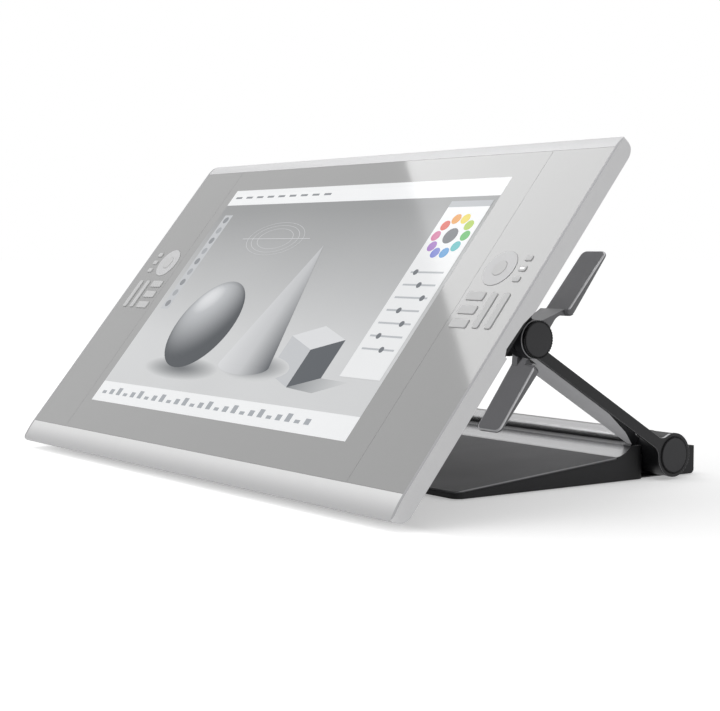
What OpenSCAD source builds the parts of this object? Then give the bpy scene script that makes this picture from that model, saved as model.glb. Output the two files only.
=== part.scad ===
// Pen drawing display on a counterbalanced desk stand: a wide slab with a screen and two key
// panels, four grip levers behind it, and two arms that swing about a barrel on a wedge base.
// Millimetres. X runs across the screen, -Y is the front, +Z is up.
// The origin lies on the desk, under the middle of the whole.

/* [Screen] */
// Width of the lit picture
screen_w = 518.4; // [500:0.1:560]
// Height of the lit picture
screen_h = 324; // [300:0.5:340]
// Sideways place of the picture from the middle of the body
screen_shift = -10; // [-12:0.5:12]
// Border of the panel round the picture
screen_rim = 8; // [4:0.5:9]

/* [Display front] */
// Glass beside the picture, on each side
bezel_side = 27.65; // [26:0.05:40]
// Glass above the picture
bezel_top = 32; // [24:0.5:45]
// Glass below the picture
bezel_bottom = 41; // [30:0.5:55]
// Width of each key panel beside the glass
panel_w = 84.35; // [82:0.05:110]
// Thickness of the end caps
cap_t = 3.5; // [2:0.1:6]
// Upper end of the notch in an end cap's rear edge, above the middle of the picture
notch_up = 11; // [0:0.5:30]
// Lower end of that notch, below the middle of the picture
notch_down = 43; // [35:0.5:60]
// Depth of that notch
notch_d = 6.2; // [3:0.1:9]
// Height of the strip above the glass
trim_h = 15; // [10:0.5:22]
// Height of the chin below the glass
chin_h = 26; // [20:0.5:40]
// Thickness of the front slab
slab_t = 18; // [17:0.5:24]
// How far the strip and the chin fall back at their outer edges
edge_drop = 3; // [1.5:0.1:5]
// Corner rounding of the slab, seen from the front
corner_r = 6; // [4:0.5:14]
// Thickness of the cover glass
glass_t = 3; // [2:0.1:4]
// Open seam between neighbouring front pieces
seam = 0.3; // [0.1:0.05:0.6]

/* [Display inside] */
// Thickness of the liquid crystal panel
lcd_t = 3; // [2:0.1:4]
// Open space round the panel in its frame
pocket_gap = 3; // [1:0.5:4]
// Thickness of the backlight behind it
backlight_t = 8; // [5:0.1:8]
// Thickness of every circuit board
board_t = 1.6; // [1:0.1:2]
// Switch boards, inwards from the edges of the key panels
board_in = 4; // [3:0.5:6]
// Height of the standoffs under the rear boards
standoff_h = 8; // [5:0.5:12]
// Radius of those standoffs
standoff_r = 3; // [2:0.1:4]
// Standoff centres, inwards from a board's edges
standoff_in = 8; // [6:0.5:12]
// Main board width
main_w = 260; // [220:1:320]
// Main board height
main_h = 110; // [100:1:130]
// Main board, above the cover's lower back edge
main_up = 6; // [4:0.5:12]
// Power board, below the cover's upper back edge
power_down = 40; // [36:0.5:48]
// Power board width
power_w = 190; // [150:1:220]
// Power board height
power_h = 90; // [70:1:110]

/* [Rear cover] */
// Depth of the cover behind the slab
cover_depth = 40; // [36:0.5:46]
// Lean of the cover's two sides
cover_in_side = 62; // [50:0.5:80]
// Lean of the cover's top and bottom
cover_in_end = 40; // [25:0.5:45]
// Rim of the cover, inwards from the flat back of the slab
rim_in = 1.5; // [1:0.1:4]
// Wall of the cover
cover_wall = 2.5; // [2:0.1:4]
// Corner rounding of the cover's back
cover_r = 24; // [10:0.5:30]
// Rows of air slots in each block
vent_rows = 6; // [2:1:7]
// Length of one air slot
vent_l = 78; // [40:1:90]
// Height of one air slot
vent_h = 2.4; // [1.5:0.1:3.5]
// Step from slot to slot
vent_step = 6; // [5:0.5:7]
// Half the plain strip between the two upper blocks of slots
vent_in = 8; // [4:0.5:12]
// Nearest slot, inwards from the cover's back edge
vent_edge = 13; // [10:0.5:16]
// Width of the socket panel
socket_w = 120; // [110:1:140]
// Height of the socket panel
socket_h = 22; // [20:0.5:26]
// Socket panel, above the cover's lower back edge
socket_up = 24; // [18:0.5:30]
// Gap round the socket panel
socket_gap = 0.3; // [0.2:0.05:0.6]
// Depth of the sockets
socket_depth = 11; // [9:0.5:14]
// Height of the socket openings
socket_open = 15; // [13:0.5:16]
// Width of the video socket
video_w = 40; // [34:0.5:44]

/* [Screws] */
// Shank radius
screw_r = 2; // [1.5:0.1:2.5]
// Head radius
screw_head_r = 3.6; // [3:0.1:4.5]
// Head height
screw_head_h = 2.2; // [1.5:0.1:3]
// Shank length
screw_l = 20; // [16:0.5:24]
// Radius of the posts that take the screws
post_r = 5.5; // [4.5:0.1:7]
// Cover screws, inwards from the cover's back edges
screw_edge = 23; // [18:0.5:28]
// Open space round a shank in a plain hole
screw_room = 0.25; // [0.1:0.05:0.5]

/* [Keys] */
// Touch ring radius
ring_r = 20.4; // [16:0.1:22]
// Radius of the button inside the ring
ring_button_r = 8.6; // [6:0.1:10]
// Ring centre, inwards from the end of the body
ring_in = 59.2; // [57:0.1:60]
// Ring centre, above the middle of the picture
ring_v = 45.8; // [42:0.1:60]
// Toggle width
toggle_w = 9.6; // [8:0.1:12]
// Toggle height
toggle_h = 6; // [5:0.1:8]
// Step from toggle to toggle
toggle_step = 12.4; // [11:0.1:14]
// Toggle centre, inwards from the end of the body
toggle_in = 27; // [24:0.1:28]
// Long key width
long_w = 8.2; // [7:0.1:11]
// Long key height
long_h = 41; // [30:0.5:44]
// Outer long key, inwards from the end of the body
long_in = 26; // [22:0.1:27]
// Step from long key to long key
long_step = 17.5; // [16:0.1:18]
// Short key width
short_w = 24.4; // [20:0.1:27]
// Short key height
short_h = 9.6; // [8:0.1:12]
// Short key centre, inwards from the end of the body
short_in = 68.6; // [67:0.1:70]
// Step from short key to short key
short_step = 16.2; // [15:0.1:17]
// Middle of the key block, below the middle of the picture
keys_down = 4; // [2:0.1:6]
// Corner rounding of the keys
key_r = 2; // [1:0.1:2.4]
// How far a key stands above the panel
key_rise = 1.1; // [0.9:0.1:1.6]
// Open gap round a key
key_gap = 0.3; // [0.2:0.05:0.5]
// Lip under the panel that keeps a key in
key_lip = 0.8; // [0.5:0.1:1.2]
// Thickness of that lip
key_lip_t = 1.2; // [0.8:0.1:1.6]
// Length of the stem under a key
stem_l = 2.2; // [1.5:0.1:3]
// Radius of the stem under a key
stem_r = 1.6; // [1:0.1:2.4]
// Radius of the switch dome under a key
dome_r = 2.5; // [1.5:0.1:3.5]
// Height of the switch dome under a key
dome_h = 0.5; // [0.3:0.1:0.8]
// Slack between resting neighbours in the key stack
key_slack = 0.1; // [0.05:0.01:0.2]
// Stroke of a key
key_stroke = 0.8; // [0.4:0.1:1]

/* [Hinge] */
// Lean of the screen from flat
tilt = 50.9; // [45:0.1:60]
// Tilt axis, above the middle of the picture
hinge_v = 42.4; // [30:0.1:60]
// Tilt axis, behind the glass
hinge_depth = 108.5; // [105:0.1:116]
// Tilt pin radius
pin_r = 5; // [4:0.1:6]
// Radius of the pin's head
pin_head_r = 8; // [7:0.1:9]
// Bracket lug radius
lug_r = 19; // [14:0.5:20]
// Half height of the bracket at the display
lug_half = 31; // [28:0.5:36]
// Thickness of the outer lug
lug_w = 10; // [8:0.5:11]
// Thickness of the inner lug
lug_in_w = 8; // [6:0.5:9]
// Thickness of the bracket's foot plate
flange_t = 4; // [3:0.5:6]
// Foot plate beyond the inner lug
flange_tail = 23; // [20:0.5:28]
// Foot plate beyond the outer lug
flange_lip = 9; // [4:0.5:12]
// Bracket screws, inwards from the foot plate's edges
lug_screw_in = 10; // [8:0.5:11]
// Height over the tilt axis at which a lug starts to widen
lug_flare = 10; // [9:0.5:14]
// Height of that widening
lug_flare_h = 3; // [2:0.5:6]
// Running room round a pin
run_gap = 0.05; // [0.02:0.01:0.1]
// Room round a seat that doesn't turn
seat_gap = 0.02; // [0.01:0.01:0.05]
// Side gap between pieces that turn on one pin
side_gap = 0.4; // [0.3:0.05:0.6]

/* [Levers] */
// Reach of the upper levers from the tilt axis
upper_reach = 127; // [110:1:130]
// Reach of the lower levers from the tilt axis
lower_reach = 101; // [80:1:110]
// Start of the upper blade, from the tilt axis
upper_root = 48.5; // [46:0.5:56]
// Start of the lower blade, from the tilt axis
lower_root = 24.5; // [24:0.5:36]
// Front face of the blade at its root, behind the tilt axis
lever_set = 13.3; // [10:0.1:16]
// Further set-back of the tip
lever_lean = 3; // [0:0.1:6]
// Thickness at the tip
lever_tip_t = 3.6; // [2.5:0.1:5]
// Thickness at the root
lever_root_t = 8.6; // [6:0.1:10]
// Blade width
lever_w = 35; // [28:0.5:36]
// Width of the lever's hub
lever_hub_w = 8; // [6:0.1:9]
// Radius of the lever's hub
lever_hub_r = 12; // [11:0.1:13]
// Open space between the arm's upper eye and the neck
neck_gap = 1.4; // [1:0.1:3]
// Front of the neck at the hub, before the tilt axis
neck_front = 3.2; // [1:0.1:4]
// Rear face of the neck, behind the tilt axis
neck_back = 9.4; // [8:0.1:10.5]
// Hollow rounding between the neck and the upper blade
neck_bend = 15; // [12:0.1:16]
// How much narrower the neck is than the blade, on its outer side
neck_slant = 6; // [1:0.5:8]
// Corner rounding of the blade's tip
lever_corner = 7; // [3:0.5:12]
// Corner rounding at the blade's root, on its outer side
root_corner = 9; // [4:0.5:12]

/* [Arms] */
// Length of the arm bar, from the lower axis
arm_reach = 234.8; // [210:0.1:250]
// Slope of the arm bar
arm_slope = 30.8; // [29:0.1:40]
// Height of the tilt axis over the bar's centre line
eye_rise = 10.4; // [6:0.1:14]
// Bar thickness
arm_t = 12; // [9:0.5:14]
// Bar width
arm_w = 38; // [36:0.5:42]
// Thickness of the outer cover
arm_cover_t = 3; // [2:0.1:4]
// Radius of the arm's lower hub
arm_hub_r = 23.6; // [20:0.1:23.8]
// Width of the arm's lower hub
arm_hub_w = 23; // [18:0.5:28]
// Radius of the arm's upper eye
eye_r = 19.8; // [19:0.1:21]
// Width of the arm's upper eye
eye_w = 12; // [8:0.5:14]
// Full-width bar stops this far short of the tilt axis
arm_stop = 23; // [22:0.5:40]
// Cut-off corner where it stops
arm_cut = 5; // [4:0.5:14]
// Width of the bar's ring round the lower axis
arm_ring_w = 6; // [5:0.5:12]
// The bar's outer side starts to widen here
flare_from = 28; // [26:1:40]
// The bar has its full width from here
flare_to = 106; // [90:1:140]
// Rounding where the bar meets the lower hub
arm_fillet = 14; // [8:0.5:20]
// How much smaller the cover's boss is than the lower hub
boss_in = 0.4; // [0.2:0.1:8]
// Radius of the cap over the tilt axis
hub_cap_r = 18.5; // [14:0.1:19]
// Thickness of that cap
hub_cap_t = 1; // [0.5:0.1:4]
// Radius of the cap over the lower axis
low_cap_r = 19.6; // [15:0.1:19.8]
// Thickness of that cap
low_cap_t = 1; // [0.5:0.1:2]
// Radius of the shaft in the barrel
shaft_r = 7; // [5:0.1:9]

/* [Base] */
// Width of the base
base_w = 524; // [500:1:540]
// Depth of the base
base_depth = 336; // [320:1:380]
// Height of the front face
front_h = 8.6; // [8:0.1:11]
// Slope of the top plate
base_slope = 4.7; // [4:0.1:5]
// Thickness of the top plate
pad_t = 2.5; // [1.5:0.1:3]
// Front corner rounding
front_r = 10; // [4:0.5:16]
// Rear corner rounding beside the barrel
back_r = 14; // [8:0.5:16]
// Radius of the hollow curve in front of the barrel
sweep_r = 33.2; // [28:0.1:36]
// Depth of the top plate, up to that curve
pad_depth = 218.3; // [210:0.1:220]
// Steepness of the curve at its upper end
sweep_turn = 47.4; // [42:0.1:50]
// Room round the turning hubs of the arms
hub_room = 0.8; // [0.5:0.1:1.5]
// Lower axis, inwards from the rear edge
pivot_in = 50.8; // [46:0.1:60]
// Lower axis, above the desk
pivot_z = 26.3; // [26.2:0.1:28]
// Barrel radius
barrel_r = 23.6; // [20:0.1:23.8]
// Wall of the barrel
barrel_wall = 3.5; // [2.5:0.1:5]
// Length of the bushes in the barrel's ends
bush_l = 10; // [6:0.5:16]
// The hollow curve's block stops this far before the lower axis
block_stop = 22; // [20:0.5:23]
// Height of the rear bar
bar_h = 31.6; // [28:0.1:34]
// Rise of the rear bar's lower edge
bar_lift = 3; // [2:0.5:12]
// Thickness of the dark cheeks at the ends of the hollow curve
cheek_t = 1; // [0.8:0.1:8]
// Bottom sheet, inwards from the base's outline
sheet_in = 6; // [5:0.5:10]
// Corner rounding of the bottom sheet
sheet_r = 8; // [4:0.5:12]
// Wall of the base shell
shell_wall = 2.5; // [2:0.1:3]
// Height of the steel ballast
ballast_h = 8; // [4:0.5:9]
// Depth of the steel ballast
ballast_depth = 110; // [60:1:115]
// Width of the steel ballast
ballast_w = 460; // [300:1:480]
// Thickness of the bottom sheet
sheet_t = 1.2; // [0.8:0.1:1.3]
// Height of the rubber feet
foot_h = 1; // [0.5:0.1:1]
// Feet, inwards from the base's outline
foot_in = 32; // [28:0.5:50]
// Radius of the rubber feet
foot_r = 12; // [8:0.5:16]

/* [Hidden] */
$fn = 72;
round_fn = 32;
over = 1;
fillet_lap = 0.1;

glass_half = screen_w / 2 + bezel_side;
panel_in = glass_half + seam;
panel_out = panel_in + panel_w;
half_w = panel_out + cap_t;
glass_up = screen_h / 2 + bezel_top;
glass_down = screen_h / 2 + bezel_bottom;
body_up = glass_up + trim_h;
body_down = glass_down + chin_h;
nose_r = slab_t - edge_drop;
chin_bow = (chin_h * chin_h + edge_drop * edge_drop) / (2 * edge_drop);
trim_bow = (trim_h * trim_h + edge_drop * edge_drop) / (2 * edge_drop);

lcd_w = screen_w + 2 * screen_rim;
lcd_h = screen_h + 2 * screen_rim;
stack_t = glass_t + lcd_t + backlight_t + board_t;

back = slab_t + cover_depth;
rim_x = panel_out - rim_in;
rim_up = body_up - nose_r - rim_in;
rim_down = body_down - nose_r - rim_in;
back_x = rim_x - cover_in_side;
back_up = rim_up - cover_in_end;
back_down = rim_down - cover_in_end;
board_back = slab_t + standoff_h + board_t;
main_v = main_h / 2 + main_up - back_down;
power_v = back_up - power_h / 2 - power_down;
socket_v = socket_h / 2 + socket_up - back_down;
low_vent_u = socket_w / 2 + vent_l / 2 + 2 * vent_in;

lip_top = glass_t + key_slack;
lip_low = lip_top + key_lip_t;
dome_top = lip_low + stem_l + key_stroke + key_slack;
switch_top = dome_top + dome_h;
switch_out = panel_out - board_in;
switch_in = panel_in + board_in;
switch_up = ring_v + ring_r + 2 * board_in;
switch_down = keys_down + long_h / 2 + 2 * board_in;

toggle_u = half_w - toggle_in;
ring_u = half_w - ring_in;
long_u = half_w - long_in;
short_u = half_w - short_in;

arm_in = base_w / 2 - arm_hub_w;
ring_out = arm_in + arm_ring_w;
arm_out = arm_in + arm_w;
flare_mid = flare_from + 0.42 * (flare_to - flare_from);
flare_x = ring_out + 0.56 * (arm_out - ring_out);
arm_face = arm_out + arm_cover_t;
barrel_half = arm_in - side_gap;
eye_in = arm_out - eye_w;
lug_x = eye_in - side_gap - lug_w;
lower_hub_x = lug_x - side_gap - lever_hub_w;
upper_hub_x = lower_hub_x - side_gap - lever_hub_w;
lug_in_x = upper_hub_x - side_gap - lug_in_w;
blade_in = arm_face - lever_w;
neck_r = max(eye_r, lug_r) + neck_gap;
blade_mid = lever_set + lever_root_t / 2;
low_neck = sqrt(max(pow(lug_r + neck_gap, 2) - pow(lever_set, 2), 100));
collar_r = arm_stop - neck_gap / 2;
flange_in = lug_in_x - flange_tail;
flange_out = lug_x + lug_w + flange_lip;
flange_half = lug_half + flange_t;
lug_screw_u = [flange_in + lug_screw_in, lower_hub_x - side_gap / 2];
lug_screw_v = flange_half - lug_screw_in;
cover_screw_u = back_x - screw_edge;

tilt_off_y = eye_rise * sin(arm_slope) - arm_reach * cos(arm_slope);
tilt_off_z = arm_reach * sin(arm_slope) + eye_rise * cos(arm_slope);
nose_y = -(body_down + hinge_v) * cos(tilt) - (hinge_depth - edge_drop) * sin(tilt);
front_reach = pivot_in - tilt_off_y - nose_y;
base_back = front_reach / 2;
base_front = base_back - base_depth;
pivot_y = base_back - pivot_in;
tilt_y = pivot_y + tilt_off_y;
tilt_z = pivot_z + tilt_off_z;

floor_z = foot_h + sheet_t;
pad_end = base_front + pad_depth;
block_end = pivot_y - block_stop;
sweep_y = pad_end - sweep_r * sin(base_slope);
sweep_z = top_z(pad_end) + sweep_r * cos(base_slope);
tip_y = sweep_y + sweep_r * sin(sweep_turn);
tip_z = sweep_z - sweep_r * cos(sweep_turn);
sheet_back_in = bar_lift + sheet_in / 2;

// Larger parts of the boards: place across the board, width, height, thickness
MAIN_PARTS = [[-0.25, 46, 40, 9], [0, 24, 18, 4], [0.25, 30, 30, 3]];
POWER_PARTS = [[-0.25, 44, 38, 18], [0.08, 18, 50, 15]];
can_r = 9;
can_h = 18;
can_step = 32;

ROWS = ["upper", "middle", "lower"];
SIDES = ["left", "right"];

// Height of the top plate at a place along the base
function top_z(y) = front_h + (y - base_front) * tan(base_slope);

// Puts pieces drawn in the screen's own axes into place
module tilted() {
  translate([0, tilt_y, tilt_z]) rotate([tilt, 0, 0]) translate([0, -hinge_v, hinge_depth]) children();
}

// Puts pieces drawn about the tilt axis into place
module at_hinge() {
  tilted() translate([0, hinge_v, -hinge_depth]) children();
}

// Puts pieces drawn along the arm bar into place: Y along the bar, Z over it
module along_arm() {
  translate([0, pivot_y, pivot_z]) rotate([-arm_slope, 0, 0]) mirror([0, 1, 0]) children();
}

// Mirrors a right-hand piece to the named side
module on_side(side) {
  if (side == "left") mirror([1, 0, 0]) children();
  else children();
}

// A flat outline in Y and Z, drawn out from one X to another
module span_x(x0, x1) {
  translate([x0, 0, 0]) rotate([90, 0, 90]) linear_extrude(x1 - x0) children();
}

// A rod along X
module rod(x0, x1, r) {
  translate([x0, 0, 0]) rotate([0, 90, 0]) cylinder(h = x1 - x0, r = r);
}

// A rectangle with one rounding at its two lower corners and one at its two upper corners
module outline(half, y0, y1, r0, r1) {
  translate([-half, y0 + r0]) square([2 * half, y1 - y0 - r0 - r1]);
  translate([r0 - half, y0]) square([2 * (half - r0), r0]);
  translate([r1 - half, y1 - r1]) square([2 * (half - r1), r1]);
  for (s = [-1, 1]) {
    translate([s * (half - r0), y0 + r0]) circle(r0);
    translate([s * (half - r1), y1 - r1]) circle(r1);
  }
}

// A rounded key outline about its own middle
module key_shape(w, h, grow) {
  outline(w / 2 + grow, -h / 2 - grow, h / 2 + grow, key_r + grow, key_r + grow);
}

// Cross-section of the front slab: flat face, bowed strip and chin, round noses behind them
module slab_shape() {
  intersection() {
    union() {
      translate([nose_r - body_down, -slab_t]) square([body_up + body_down - 2 * nose_r, slab_t]);
      translate([nose_r - body_down, -edge_drop]) circle(nose_r);
      translate([body_up - nose_r, -edge_drop]) circle(nose_r);
    }
    union() {
      translate([-glass_down, -slab_t]) square([glass_up + glass_down, slab_t]);
      intersection() {
        translate([-body_down, -slab_t]) square([chin_h, slab_t]);
        translate([-glass_down, -chin_bow]) circle(chin_bow, $fn = 360);
      }
      intersection() {
        translate([glass_up, -slab_t]) square([trim_h, slab_t]);
        translate([glass_up, -trim_bow]) circle(trim_bow, $fn = 180);
      }
    }
  }
}

// The slab between two X and two heights, with its front corners rounded
module slab_piece(x0, x1, v0, v1) {
  intersection() {
    span_x(x0, x1) slab_shape();
    translate([0, 0, -slab_t - over]) linear_extrude(slab_t + 2 * over)
      outline(half_w, -body_down, body_up, corner_r, corner_r);
    translate([x0, v0, -slab_t - over]) cube([x1 - x0, v1 - v0, slab_t + 2 * over]);
  }
}

// Flat plate in the screen's axes, between two depths behind the glass
module plate(u, v, w, h, near, far) {
  translate([u - w / 2, v - h / 2, -far]) cube([w, h, far - near]);
}

module front_glass() {
  color("#b4b4b4") tilted() translate([-glass_half, seam - glass_down, -glass_t])
    cube([2 * glass_half, glass_up + glass_down - 2 * seam, glass_t]);
}

// Every key's cut-out on one panel
module key_holes() {
  translate([ring_u, ring_v]) circle(ring_r + key_gap);
  for (i = [-1:1]) {
    translate([toggle_u, ring_v + i * toggle_step]) key_shape(toggle_w, toggle_h, key_gap);
    translate([short_u, -keys_down + i * short_step]) key_shape(short_w, short_h, key_gap);
  }
  for (i = [0, 1]) translate([long_u - i * long_step, -keys_down]) key_shape(long_w, long_h, key_gap);
}

module key_panel() {
  color("#b4b4b4") tilted() translate([0, 0, -glass_t]) linear_extrude(glass_t) difference() {
    translate([panel_in, seam - glass_down]) square([panel_w, glass_up + glass_down - 2 * seam]);
    key_holes();
  }
}

module top_trim() {
  color("#dedede") tilted() slab_piece(-panel_out, panel_out, glass_up, body_up);
}

module bottom_chin() {
  color("#cfcfcf") tilted() slab_piece(-panel_out, panel_out, -body_down, -glass_down);
}

// Side view of the notch that shows the dark frame at an end cap's rear edge
module notch_shape() {
  polygon([
    [notch_up, -slab_t - over], [notch_up, -slab_t],
    [notch_up / 3 - notch_down / 4, 0.75 * notch_d - slab_t], [notch_d - notch_down, notch_d - slab_t],
    [-notch_down, notch_d / 2 - slab_t], [-notch_down, -slab_t - over]
  ]);
}

module end_cap() {
  color("#bcbcbc") tilted() difference() {
    slab_piece(panel_out, half_w, -body_down, body_up);
    span_x(panel_out - over, half_w + over) notch_shape();
  }
}

// Places of the screws, as seen from the front: bracket screws, then cover screws
module at_bracket_screws() {
  for (s = [-1, 1], u = lug_screw_u, t = [-1, 1]) translate([s * u, hinge_v + t * lug_screw_v]) children();
}

module at_cover_screws() {
  for (s = [-1, 1], v = [screw_edge - back_down, back_up - screw_edge])
    translate([s * cover_screw_u, v]) children();
}

module screw_post() {
  difference() {
    translate([0, 0, cover_wall - back]) cylinder(h = cover_depth - cover_wall + over / 2, r = post_r);
    translate([0, 0, -back]) cylinder(h = screw_l + 2, r = screw_r + seat_gap);
  }
}

module mid_frame() {
  color("#8c9094") tilted() {
    difference() {
      plate(0, (glass_up - glass_down) / 2, 2 * panel_out, glass_up + glass_down, glass_t, slab_t);
      plate(screen_shift, 0, lcd_w + 2 * pocket_gap, lcd_h + 2 * pocket_gap, 0, stack_t);
      for (s = [-1, 1])
        plate(s * (switch_in + switch_out) / 2, (switch_up - switch_down) / 2,
          switch_out - switch_in + 1, switch_up + switch_down + 1, 0, switch_top + board_t);
    }
    at_bracket_screws() screw_post();
    at_cover_screws() screw_post();
  }
}

module lcd_panel() {
  color("#1d2226") tilted() plate(screen_shift, 0, lcd_w, lcd_h, glass_t, glass_t + lcd_t);
}

module backlight() {
  color("#e8e8e4") tilted() plate(screen_shift, 0, lcd_w, lcd_h, glass_t + lcd_t, stack_t - board_t);
}

module digitizer_board() {
  color("#2f5d3a") tilted() plate(screen_shift, 0, lcd_w, lcd_h, stack_t - board_t, stack_t);
}

// A board on four standoffs behind the frame
module rear_board(u, v, w, h) {
  plate(u, v, w, h, slab_t + standoff_h, board_back);
  for (s = [-1, 1], t = [-1, 1])
    translate([u + s * (w / 2 - standoff_in), v + t * (h / 2 - standoff_in), -slab_t - standoff_h])
      cylinder(h = standoff_h, r = standoff_r);
}

module main_board() {
  color("#2c5a3c") tilted() {
    rear_board(0, main_v, main_w, main_h);
    for (p = MAIN_PARTS)
      plate(p[0] * main_w, main_v + main_h / 4, p[1], p[2], board_back, board_back + p[3]);
  }
}

module power_board() {
  color("#7a6a3a") tilted() {
    rear_board(0, power_v, power_w, power_h);
    for (p = POWER_PARTS) plate(p[0] * power_w, power_v, p[1], p[2], board_back, board_back + p[3]);
    for (i = [-1, 1])
      translate([power_w / 3, power_v + i * can_step / 2, -board_back - can_h])
        cylinder(h = can_h, r = can_r);
  }
}

// The cover's outer or inner form, its wall taken off all round
module cover_form(wall, near, far) {
  hull() {
    translate([0, 0, -near]) linear_extrude(over)
      outline(rim_x - wall, wall - rim_down, rim_up - wall, corner_r, corner_r, $fn = round_fn);
    translate([0, 0, -far]) linear_extrude(over)
      outline(back_x - wall, wall - back_down, back_up - wall, cover_r, cover_r, $fn = round_fn);
  }
}

module air_slots() {
  for (s = [-1, 1], i = [0:vent_rows - 1]) {
    translate([s * (vent_l / 2 + vent_in) - vent_l / 2, back_up - vent_edge - i * vent_step, -back - over])
      cube([vent_l, vent_h, cover_wall + 2 * over]);
    translate([s * low_vent_u - vent_l / 2, vent_edge - back_down + i * vent_step, -back - over])
      cube([vent_l, vent_h, cover_wall + 2 * over]);
  }
}

module rear_cover() {
  color("#3a3a3c") tilted() difference() {
    cover_form(0, slab_t + over, back);
    cover_form(cover_wall, slab_t, back - cover_wall);
    air_slots();
    plate(0, socket_v, socket_w + 2 * socket_gap, socket_h + 2 * socket_gap,
      back - 2 * cover_wall, back + over);
    translate([0, 0, -back - over]) linear_extrude(cover_wall + 2 * over) {
      at_bracket_screws() circle(screw_r + screw_room);
      at_cover_screws() circle(screw_r + screw_room);
    }
  }
}

module socket_panel() {
  color("#2a2a2c") tilted() difference() {
    plate(0, socket_v, socket_w, socket_h, board_back, back);
    plate(-socket_w / 4, socket_v, video_w, socket_open, back - socket_depth, back + over);
    plate(socket_w / 12, socket_v, socket_open, socket_open, back - socket_depth, back + over);
    translate([socket_w / 3, socket_v, -back - over]) cylinder(h = socket_depth + over, r = socket_open / 2);
  }
}

// Rod under each key and the dome it presses
module at_key_middles() {
  translate([ring_u, ring_v]) children();
  for (i = [-1:1]) {
    translate([toggle_u, ring_v + i * toggle_step]) children();
    translate([short_u, -keys_down + i * short_step]) children();
  }
  for (i = [0, 1]) translate([long_u - i * long_step, -keys_down]) children();
}

module switch_board() {
  color("#2f5d3a") tilted() {
    plate((switch_in + switch_out) / 2, (switch_up - switch_down) / 2,
      switch_out - switch_in, switch_up + switch_down, switch_top, switch_top + board_t);
    translate([0, 0, -switch_top]) at_key_middles() cylinder(h = dome_h, r = dome_r);
  }
}

// A cap above the panel, a lip below it and a rod down to the switch
module key_body() {
  translate([0, 0, -lip_low]) linear_extrude(lip_low + key_rise) children(0);
  translate([0, 0, -lip_low]) linear_extrude(key_lip_t) children(1);
  translate([0, 0, -lip_low - stem_l]) cylinder(h = stem_l + key_lip_t / 2, r = stem_r);
}

module toggle(row) {
  color("#cbcbcb") tilted() translate([toggle_u, ring_v + (1 - row) * toggle_step, 0]) key_body() {
    key_shape(toggle_w, toggle_h, 0);
    key_shape(toggle_w, toggle_h, key_gap + key_lip);
  }
}

module long_key(column) {
  color("#cbcbcb") tilted() translate([long_u - column * long_step, -keys_down, 0]) key_body() {
    key_shape(long_w, long_h, 0);
    key_shape(long_w, long_h, key_gap + key_lip);
  }
}

module short_key(row) {
  color("#cbcbcb") tilted() translate([short_u, (1 - row) * short_step - keys_down, 0]) key_body() {
    key_shape(short_w, short_h, 0);
    key_shape(short_w, short_h, key_gap + key_lip);
  }
}

module ring_button() {
  color("#cbcbcb") tilted() translate([ring_u, ring_v, 0]) key_body() {
    circle(ring_button_r);
    circle(ring_button_r + key_gap + key_lip);
  }
}

module touch_ring() {
  hole_r = ring_button_r + key_gap;
  color("#c4c4c4") tilted() translate([ring_u, ring_v, 0]) difference() {
    union() {
      translate([0, 0, -lip_low]) cylinder(h = lip_low + key_rise / 2, r = ring_r);
      translate([0, 0, -lip_low]) cylinder(h = key_lip_t, r = ring_r + key_gap + key_lip);
    }
    translate([0, 0, -lip_low - over]) cylinder(h = lip_low + key_rise + over, r = hole_r);
    translate([0, 0, -lip_low - over]) cylinder(h = key_lip_t + over, r = hole_r + key_gap + key_lip);
  }
}

// Side view of a bracket lug about the tilt axis
module lug_shape() {
  depth = hinge_depth - back;
  wide = lug_flare + lug_flare_h;
  circle(lug_r);
  polygon([
    [-lug_r, 0], [lug_r, 0], [lug_r, lug_flare], [lug_half, wide], [lug_half, depth],
    [-lug_half, depth], [-lug_half, wide], [-lug_r, lug_flare]
  ]);
}

module hinge_bracket() {
  color("#2e2e30") difference() {
    union() {
      at_hinge() span_x(lug_in_x, lug_in_x + lug_in_w) lug_shape();
      at_hinge() span_x(lug_x, lug_x + lug_w) lug_shape();
      tilted() plate((flange_in + flange_out) / 2, hinge_v, flange_out - flange_in, 2 * flange_half,
        back, back + flange_t);
    }
    at_hinge() rod(lug_in_x - over, eye_in, pin_r + seat_gap);
    tilted() translate([0, 0, -back - flange_t - over]) linear_extrude(flange_t + 2 * over)
      at_bracket_screws() circle(screw_r + screw_room);
  }
}

module tilt_pins() {
  color("#9a9a9c") for (side = SIDES) on_side(side) at_hinge() {
    rod(lug_in_x - 2, arm_out - side_gap, pin_r);
    rod(lug_in_x - 4, lug_in_x, pin_head_r);
  }
}

module screw() {
  translate([0, 0, -screw_head_h]) cylinder(h = screw_head_h, r = screw_head_r);
  translate([0, 0, -screw_head_h / 2]) cylinder(h = screw_l + screw_head_h / 2, r = screw_r);
}

module casing_screws() {
  color("#4a4a4c") tilted() {
    translate([0, 0, -back - flange_t]) at_bracket_screws() screw();
    translate([0, 0, -back]) at_cover_screws() screw();
  }
}

// Side view of the upper lever's neck about the tilt axis, hollow under the blade's root
module neck_shape() {
  span = neck_bend + lever_root_t / 2 - fillet_lap;
  sunk = neck_back + neck_bend;
  along = upper_root - sqrt(span * span - (sunk - blade_mid) * (sunk - blade_mid));
  difference() {
    polygon([
      [neck_r, neck_front], [upper_root, -lever_set], [upper_root, -blade_mid], [along, -sunk],
      [along, -neck_back - fillet_lap], [neck_r, -neck_back - fillet_lap]
    ]);
    translate([along, -sunk]) circle(neck_bend);
  }
}

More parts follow.
